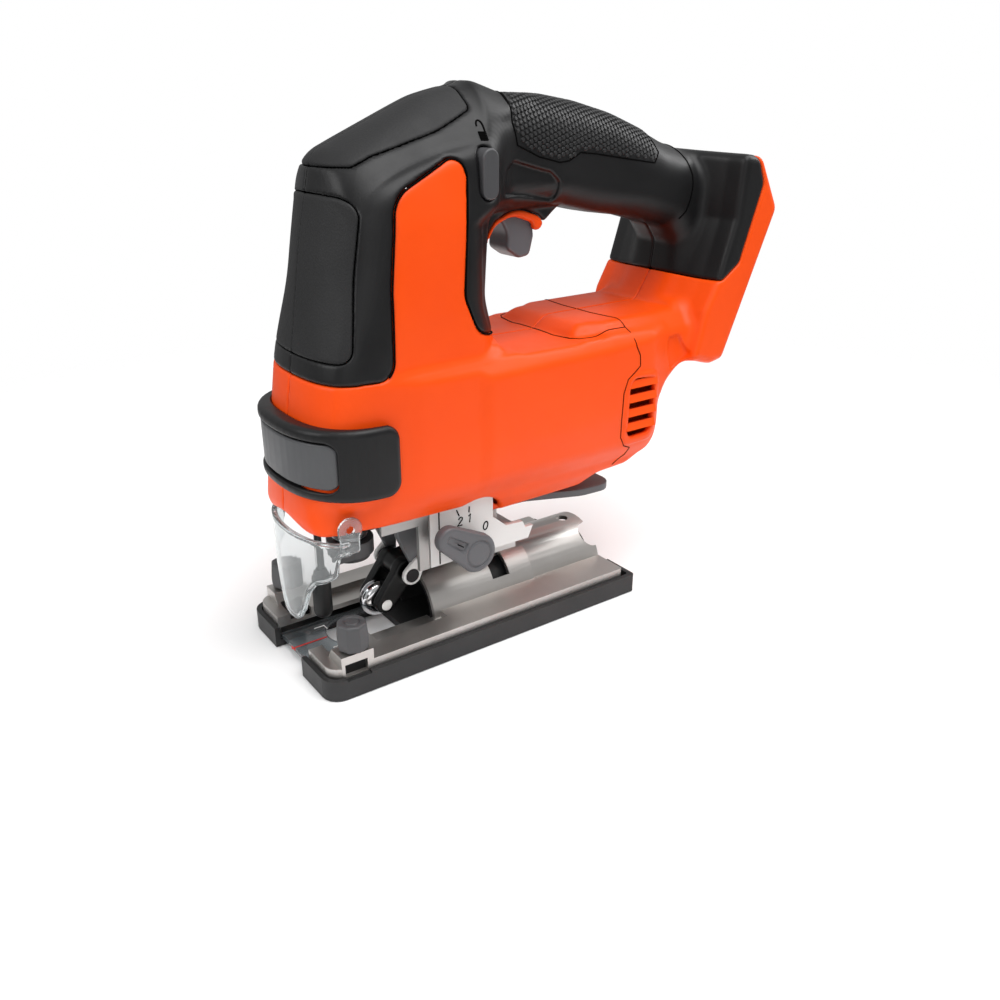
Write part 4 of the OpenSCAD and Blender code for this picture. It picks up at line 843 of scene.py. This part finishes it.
def grown(name, tree, points, inputs, edges=(), facing=None, heading=None, body="body", slot="black_trim",
        mirror=False):
    """Runs a tree over points of the drawing and keeps its mesh as one piece that rides with a body."""
    points = np.array(points, float)
    if mirror:
        points = points * (1, -1, 1)
    mesh = bpy.data.meshes.new(name)
    mesh.from_pydata([tuple(metres(p)) for p in points], list(edges), [])
    for label, values in (("facing", facing), ("heading", heading)):
        if values is not None:
            values = np.broadcast_to(np.array(values, float), points.shape) * ((1, -1, 1) if mirror else (1, 1, 1))
            mesh.attributes.new(label, "FLOAT_VECTOR", "POINT").data.foreach_set("vector",
                values.astype(np.float32).ravel())
    piece = linked(name, mesh)
    modifier = piece.modifiers.new("grown", "NODES")
    modifier.node_group = tree
    for item in tree.interface.items_tree:
        if item.in_out == "INPUT" and item.name in inputs:
            modifier[item.identifier] = inputs[item.name]
    graph = bpy.context.evaluated_depsgraph_get()
    result = bpy.data.meshes.new_from_object(piece.evaluated_get(graph))
    piece.modifiers.remove(modifier)
    result.name = name
    piece.data = result
    bpy.data.meshes.remove(mesh)
    for label in ("facing", "heading"):
        if label in result.attributes:
            result.attributes.remove(result.attributes[label])
    on_body(piece, body)
    return piece


halves = (False, "left"), (True, "right")


def strokes(name, paths, radius, material, sides=6, **kept):
    """Beads along several paths as one piece."""
    points, edges = [], []
    for path in paths:
        edges += [(len(points) + k, len(points) + k + 1) for k in range(len(path) - 1)]
        points += [tuple(p) for p in path]
    piece = grown(name, beads, points, {"Radius": radius / 1000, "Sides": sides, "Material": material},
        edges, **kept)
    piece.data.shade_smooth()


def on_side(corners, depth=-30.0, step=1.0):
    """A path of the side drawing [x, z], laid on the left side of the body."""
    flat = finely(corners, step)
    return onto(np.column_stack([flat[:, 0], np.full(len(flat), depth), flat[:, 1]]), (0, 1, 0))[0]


def on_top(corners, level, step=1.0):
    """A path of the plan [x, y], laid on the body from above."""
    flat = finely(corners, step)
    return onto(np.column_stack([flat[:, 0], flat[:, 1], np.full(len(flat), level)]), (0, 0, 1))[0]


# thin joint lines of the shells: shadow gaps a fraction of a millimetre wide
joint = [on_side(outline("""
    72.4 119.4, 73.2 116, 75.4 112, 75.9 107.4, 72.8 105, 69.1 102.6, 67 96.8, 66.5 85, 67.1 76.8, 70 72.2,
    74.6 70.2, 74.7 66, 69.7 61.5"""), -36),
         on_top(outline("69.5 -0.4, 69.4 -9.7, 70.4 -19, 72.2 -27, 72.4 -32"), 124),
         on_top(outline("45 -0.4, 45 -14, 46.2 -24, 48.5 -27.6, 53 -28.4, 72.2 -28.6"), 121)]
collar = on_side(outline("115.4 190.5, 117 186.5, 117.6 181, 117.3 176, 116.2 171, 114.4 166.4, 112 163"), -17)
crown = on_top(outline("115.2 -10, 114.4 -5, 114.2 -0.5"), 193)
for mirror, side in halves:
    strokes(f"shell_joint_lines_{side}", joint, 0.24, clear_gap, mirror=mirror, slot="orange_shell")
    strokes(f"grip_joint_line_{side}", [collar, crown], 0.34, groove_shade_and_ink, mirror=mirror, slot="black_skin")


# rubber scales of the grip: a field of small hexagonal tiles inside a raised border
scale_field = outline("""
    24 240, 23.6 211.7, 22.6 203.4 3, 24.2 196.4 2, 33.5 192.4 2, 44 190 2, 49 190.4 2, 54.9 193 2, 63.1 192.4 2,
    80.1 189.9 3, 94.2 187.8 2, 97.2 191 2, 95.4 197.4 3, 95.4 240""")
line_of_field = outline("""
    22.4 214, 21.4 203.6, 23 195.6, 33.5 191.2, 44 188.8, 49 189.2, 54.9 192, 63.1 191.2, 80.1 188.7, 94.7 186.7,
    98.4 190.6, 96.8 197.4""")


def scale_places():
    """Places and normals of the scales: rows round the tube, every other one shifted by half a step."""
    along, round_tube, tube_radius = 2.3, 2.0, 24
    rows = []
    for k, x in enumerate(np.arange(21.5, 99, along * 0.866)):
        angles = np.arange(-0.05, 2.3, round_tube * 1.08 / 19) + (k % 2) * round_tube * 0.54 / 19
        crest = 196.0 - 0.19 * (x - 30)
        rows.append(np.column_stack([np.full(len(angles), x), -tube_radius * np.sin(angles),
            crest + tube_radius * np.cos(angles), np.sin(angles), np.cos(angles)]))
    rows = np.concatenate(rows)
    spots = (rows[:, :3] - stock.low) / stock.pitch
    ways = np.column_stack([np.zeros(len(rows)), rows[:, 3], -rows[:, 4]])
    limit = np.array(outer.shape) - 1.01
    for _ in range(24):
        inside = np.clip(spots, 0, limit)
        spots = inside + np.clip(sampled(outer, inside) / stock.pitch, -2, 2)[:, None] * ways
    slope = slopes_at(slope_of_outer, np.clip(spots, 0, limit))
    normals = slope / np.linalg.norm(slope, axis=1)[:, None]
    points = stock.low + spots * stock.pitch
    kept = inside_ring(rounded(scale_field), points[:, 0], points[:, 2]) & (points[:, 1] < -0.75)
    return points[kept], normals[kept]


scale_points, scale_normals = scale_places()
scale_shape = {"Sides": 6, "Top": 0.00074, "Foot": 0.00110, "Height": 0.00055, "Uneven": 0.04, "Seed": 7,
    "Material": rubber_scale}
border = [on_side(line_of_field, -17, 0.8), on_top(outline("21.6 -14.5, 21.2 -8, 21 -0.4"), 212),
    on_top(outline("97.2 -12.5, 97.6 -7, 97.8 -0.4"), 199)]
for mirror, side in halves:
    grown(f"grip_scales_{side}", scales, scale_points + 0.02 * scale_normals, scale_shape, facing=scale_normals,
        heading=(1, 0, -0.2), mirror=mirror, slot="black_skin")
    strokes(f"grip_border_lines_{side}", border, 0.3, groove_shade_and_ink, mirror=mirror, slot="black_skin")

# louvre slats across the motor's air vents
slat_places = [(78, -33.4, 80.2 + 6.3 * k) for k in range(4)]
for mirror, side in halves:
    grown(f"vent_slats_{side}", bars, slat_places, {"Size": (0.0168, 0.0046, 0.0034), "Uneven": 0.0, "Seed": 1,
        "Material": orange_abs}, facing=(0, 0.32, 1), heading=(1, 0, 0), mirror=mirror, slot="orange_shell")


# ---- levers, knobs, trigger and roller with their real rounding
def turned_piece(name, centre, profile, material):
    """A closed lathe form round an axis along y; profile gives [radius, y] once round."""
    rings, n = 48, len(profile)
    turns = np.linspace(0, 2 * pi, rings, endpoint=False)
    points = [(centre[0] + r * cos(t), y, centre[1] + r * sin(t)) for r, y in profile for t in turns]
    faces = [(i * rings + k, i * rings + (k + 1) % rings,
        (i + 1) % n * rings + (k + 1) % rings, (i + 1) % n * rings + k) for i in range(n) for k in range(rings)]
    piece = mesh_piece(name, [metres(p) for p in points], faces, material)
    piece.data.shade_smooth()
    piece.data.set_sharp_from_angle(angle=radians(38))
    return piece


# trigger: rounded flanks, hollow front for the finger
trigger_side = outline("""
    20 177 2, 38 177 1, 39.6 165 3, 40.2 160.5 3, 38.2 152.9 2.5, 33 152.2 3, 26.5 156.3 3, 28 161 8, 24 167.5 4,
    17.2 168.8 2""")
block = Stock((15.5, -8.5, 150), (42, 8.5, 180), 0.4)
trigger_field = cut_round(block.side(trigger_side), np.abs(block.y) - 7.0, 1.4)
trigger_field = cut_round(trigger_field, block.z - 177, 0.4)
placed(carve("trigger_finger_lever", block, trigger_field, trigger_grey), "trigger", "control_grey")

# orbit lever: one flat handle with a round end, an engraved circle and a pointer
orbit_at, orbit_way, orbit_front = (-6.5, 42.0), radians(145), -34.2
block = Stock((-32, -35.6, 30), (6, -24.2, 62), 0.45)
along_lever, over_lever = turned_to(block, orbit_at, orbit_way)
from_axis = hypot(along_lever, over_lever)
share = np.clip(along_lever / 15.5, 0, 1)
teardrop = hypot(along_lever - 15.5 * share, over_lever) - (8.4 - 2.6 * share)
handle = cut_round(teardrop, maximum(orbit_front + 0.4 * share - block.y, block.y + 28.8), 1.5)
pressed = np.abs(over_lever) - (2.3 - 0.05 * along_lever)
dish = maximum(maximum(pressed, 7.2 - along_lever), block.y - (orbit_front + 1.2))
handle = cut_round(handle, -cut_round(dish, along_lever - 17.5, 0.8), 0.5)
circle = maximum(np.abs(from_axis - 5.6) - 0.35, block.y - (orbit_front + 0.6))
handle = maximum(handle, -circle)
neck = maximum(from_axis - 6, np.abs(block.y + 27) - 2.1)
bore = maximum(from_axis - 3.1, -26.8 - block.y)
placed(carve("orbit_selector_lever", block, maximum(minimum(handle, neck), -bore), acetal_grey),
    "orbit_lever", "lever_grey")
pointer = [(orbit_at[0] + a * cos(orbit_way), orbit_front - 0.02, orbit_at[1] + a * sin(orbit_way))
    for a in (9.3, 12.6)]
strokes("orbit_lever_pointer", [pointer], 0.28, groove_shade_and_ink, body=nodes["orbit_lever"]["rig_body"], slot="lever_grey")


# guide knobs: eight flats, a waist under a rounded head and a ring in its top
def knob(way, side):
    """One hand knob of the edge guide's clamp."""
    at = (-63.5, way * 31.0)
    block = Stock((at[0] - 8, at[1] - 8, 16.4), (at[0] + 8, at[1] + 8, 30.4), 0.4)
    dx, dy = block.x - at[0], block.y - at[1]
    waist = 0.09 * maximum(block.z - 23, 0) + 0.10 * maximum(21 - block.z, 0) - 6.0
    turns = [radians(22.5 + 45 * k) for k in range(8)]
    flats = reduce(maximum, [dx * cos(t) + dy * sin(t) for t in turns]) + waist
    head = cut_round(flats, maximum(block.z - 28.9, 17.4 - block.z), 1.1)
    far = hypot(dx, dy)
    head = maximum(head, -maximum(np.abs(far - 2.9) - 0.35, 28.2 - block.z))
    shank = maximum(far - 2.35, np.abs(block.z - 17.2) - 0.9)
    placed(carve(f"guide_knob_{side}_moulded", block, minimum(head, shank), acetal_dark), f"guide_knob_{side}",
        "knob_grey")


knob(-1, "left")
knob(1, "right")

# blade support roller: a rounded chrome wheel with a narrow guide groove
roller_at, fork_pin_at = (-36.2, 16.3), (-25.8, 29)
half_wheel = [(2.15, 3.5), (4.6, 3.5), (5.2, 3.42), (6.3, 3.1), (7.1, 2.5), (7.65, 1.7), (7.9, 1.0), (7.92, 0.8),
    (6.9, 0.62)]
wheel = [(r, -y) for r, y in half_wheel] + half_wheel[::-1]
placed(turned_piece("blade_support_roller", roller_at, wheel, chrome), "blade_roller", "roller_chrome")

# printed scale of the saddle: three figures, two dashes and the long index line
plate_y = -24.05


def printed(x, z, strokes_of_figure):
    """One figure of the printed scale as stroke paths on the saddle's left flank."""
    size, lean = 2.0, 0.16
    return [[(x + size * (u + lean * v), plate_y, z + size * v) for u, v in path] for path in strokes_of_figure]


oval_figure = [[(0.55 * cos(t), 0.9 * sin(t)) for t in np.linspace(0, 2 * pi, 15)]]
one_figure = [[(-0.35, 0.5), (0.1, 0.9), (0.1, -0.9)]]
two_figure = [[(-0.5, 0.45), (-0.3, 0.8), (0.1, 0.92), (0.45, 0.7), (0.4, 0.3), (-0.1, -0.3), (-0.55, -0.88),
    (0.6, -0.88)]]
figures = printed(3.6, 48.2, oval_figure) + printed(-4.3, 53.7, one_figure) + printed(-8.9, 53.4, two_figure)
figures += [[(-4.6, plate_y, 56.4), (-4.4, plate_y, 58.9)], [(-9.4, plate_y, 56), (-10.6, plate_y, 58.9)],
    [(-19, plate_y, 60.5), (-19, plate_y, 37)]]  # two dashes and the long index line
strokes("saddle_printed_scale", figures, 0.3, groove_shade_and_ink, slot="zinc_steel", body=nodes["saddle_bracket"]["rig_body"])

# red sight line and white corner marks of the clear insert
sight_top = 5.3
# red ink of the sight line: flat and thin
red_ink = finish("red_sight_line_ink", "#c8261b", 0.5, spread=0.0)
# white print: flat
white_ink = finish("white_printed_ink", "#e9e9e6", 0.55, spread=0.0)
insert_body = nodes["sight_insert"]["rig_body"]
strokes("sight_line_red", [[(-76.2, 0, sight_top), (-60.5, 0, sight_top)],
    [(-75.5, -1.6, sight_top), (-75.5, 1.6, sight_top)]], 0.3, red_ink, body=insert_body, slot="smoke_plastic")
strokes("sight_corner_marks", [[(-62, way * 9, sight_top), (-57.5, way * 9, sight_top), (-57.5, way * 6, sight_top)]
    for way in (-1, 1)], 0.25, white_ink, body=insert_body, slot="smoke_plastic")

# clear guard: half an oval tube with a blunt tongue in front of the blade, a thick lip and two ears
half_rim = outline("5.4 21 3, 9.5 26.4 3, 14 36.4 3, 18 41 3, 22 42.6 3, 25.2 45 3, 26.2 54.5 2, 40 54.5")
guard_rim = [[-y, z, r] for y, z, r in half_rim[::-1]] + [[0, 20.3, 0]] + half_rim + [[40, 59.9, 0], [-40, 59.9, 0]]
block = Stock((-76.5, -29.8, 19), (-55.2, 29.8, 71), 0.5, 0.9)


def oval_wall(reach, half):
    """Distance from half an oval of the given reach in front of the ears, straight behind them."""
    across = minimum(block.x + 61, 0)
    far = np.sqrt((across / reach) ** 2 + (block.y / half) ** 2)
    return (far - 1) * reach * half / np.sqrt((across / reach * half) ** 2 + (block.y / half * reach) ** 2 + 1)


tube = maximum(oval_wall(14, 28.6), -oval_wall(12.5, 27.1))
rim_front = block.front(guard_rim)
guard_front = maximum(cut_round(tube, rim_front, 0.5), block.x + 60.4)
lip = cut_round(maximum(oval_wall(14, 28.6), -oval_wall(11.6, 26.2)), maximum(rim_front, -rim_front - 1.4), 0.5)
guard_front = minimum(guard_front, maximum(lip, block.x + 60.4))
ear_disc = hypot(block.x + 60, block.z - 65)
ear = minimum(ear_disc - 5, bar(block, (-60.4, 0, 59.4), (4, 0, 4.2), 0.8))
ear = cut_round(ear, np.abs(np.abs(block.y) - 27.85) - 0.75, 0.3)
ear = maximum(ear, 1.6 - ear_disc)
placed(carve("clear_guard_moulded", block, minimum(guard_front, ear), clear_plastic), "clear_guard",
    "clear_plastic")

# orbit fork: two slim arms beside the roller, a boss on the swing pin and the cam arm behind it
block = Stock((-43, -9, 10), (-2.5, 9, 39.5), 0.4)
wide = np.abs(block.y)
fork_arm = cut_round(between(block, roller_at, fork_pin_at, 4.2, 4.9), np.abs(wide - 6.1) - 2.1, 0.6)
fork_boss = cut_round(between(block, fork_pin_at, (-25.8, 29.01), 5.1, 5.1), wide - 8.2, 0.6)
cam_arm = block.side(outline("-25.8 27, -16 31.4 4, -4 33.2 1, -4 37.7 1, -9 37.7 1, -16 35.6 4, -25.8 34"))
fork_form = minimum(join_round(fork_arm, fork_boss, 1), cut_round(cam_arm, wide - 5, 0.6))
roller_room = maximum(hole_y(block, roller_at, 8.6), wide - 4.0)
for room in (roller_room, hole_y(block, roller_at, 2.0), hole_y(block, fork_pin_at, 3.05)):
    fork_form = maximum(fork_form, -room)
placed(carve("orbit_fork_casting", block, fork_form, black_iron), "orbit_fork", "dark_steel")

# saddle web, coloured darker as painted shade, and the light ears that carry the fork pin
block = Stock((-36, -14, 23.5), (-18.5, 14, 63.2), 0.5)
wide = np.abs(block.y)
web = block.side(outline("-33 62.6, -20.4 62.6, -20.6 30.5 2, -24 30 1, -31.5 47 3"))
web = cut_round(web, np.abs(wide - 10.6) - 1.5, 0.4)
tab = between(block, fork_pin_at, (-22.6, 33.5), 4.3, 3.2)
tab = cut_round(tab, np.abs(wide - 12.15) - 1.05, 0.4)
pin_room = hole_y(block, fork_pin_at, 3.0)
placed(carve("fork_bracket_web", block, maximum(web, -pin_room), shaded_web_grey), "fork_bracket", "zinc_steel")
on_body(carve("fork_pin_ears", block, maximum(tab, -pin_room), painted_bracket), "body")

# padlock sign moulded beside the lock-off button
shackle = [(4.6 + 1.2 * cos(t), 202.6 + 1.9 * sin(t)) for t in np.linspace(0, pi, 9)]
padlock = [on_side([(5.8, 200.8)] + shackle, -30, 0.5)]
padlock += [on_side([(3.1, z), (6.1, z)], -30, 0.5) for z in (200.6, 200.1, 199.6, 199.1, 198.6, 198.1)]
strokes("padlock_sign", padlock, 0.36, groove_shade_and_ink, slot="black_skin")

# dark groove between the orange panel and the rubber cover, a bead of painted shade
panel_ring = [tuple(p) for p in rounded(panel_side) if p[1] > 120.5]
groove = on_side(panel_ring, -36)
for mirror, side in halves:
    strokes(f"panel_groove_{side}", [groove], 0.34, groove_shade_and_ink, mirror=mirror, slot="black_skin")


# ---- floor
floor_mesh = bpy.data.meshes.new("studio_floor")
sheet_of_floor = bmesh.new()
bmesh.ops.create_grid(sheet_of_floor, x_segments=2, y_segments=2, size=6.0)
sheet_of_floor.to_mesh(floor_mesh)
sheet_of_floor.free()
floor_mesh.transform(Matrix.Translation((0, 0, -0.0004)))
# pale painted floor: matte, nearly white
floor_paint = finish("studio_floor_paint", "#f6f6f6", 0.85, spread=0.0, specular=0.1)
# the painted floor runs out softly into the white room
paint = floor_paint.node_tree
spot = add(paint, "ShaderNodeTexCoord")
far = add(paint, "ShaderNodeVectorMath", {"operation": "LENGTH", 0: spot.outputs["Object"]})
fade = add(paint, "ShaderNodeMapRange", {"interpolation_type": "SMOOTHSTEP", "From Min": 0.2, "From Max": 0.55,
    "To Min": 1.0, "To Max": 0.0, "Value": far.outputs["Value"]})
paint.links.new(fade.outputs["Result"], next(n for n in paint.nodes if n.type == "BSDF_PRINCIPLED").inputs["Alpha"])
floor_mesh.materials.append(floor_paint)
floor = linked("studio_floor", floor_mesh)
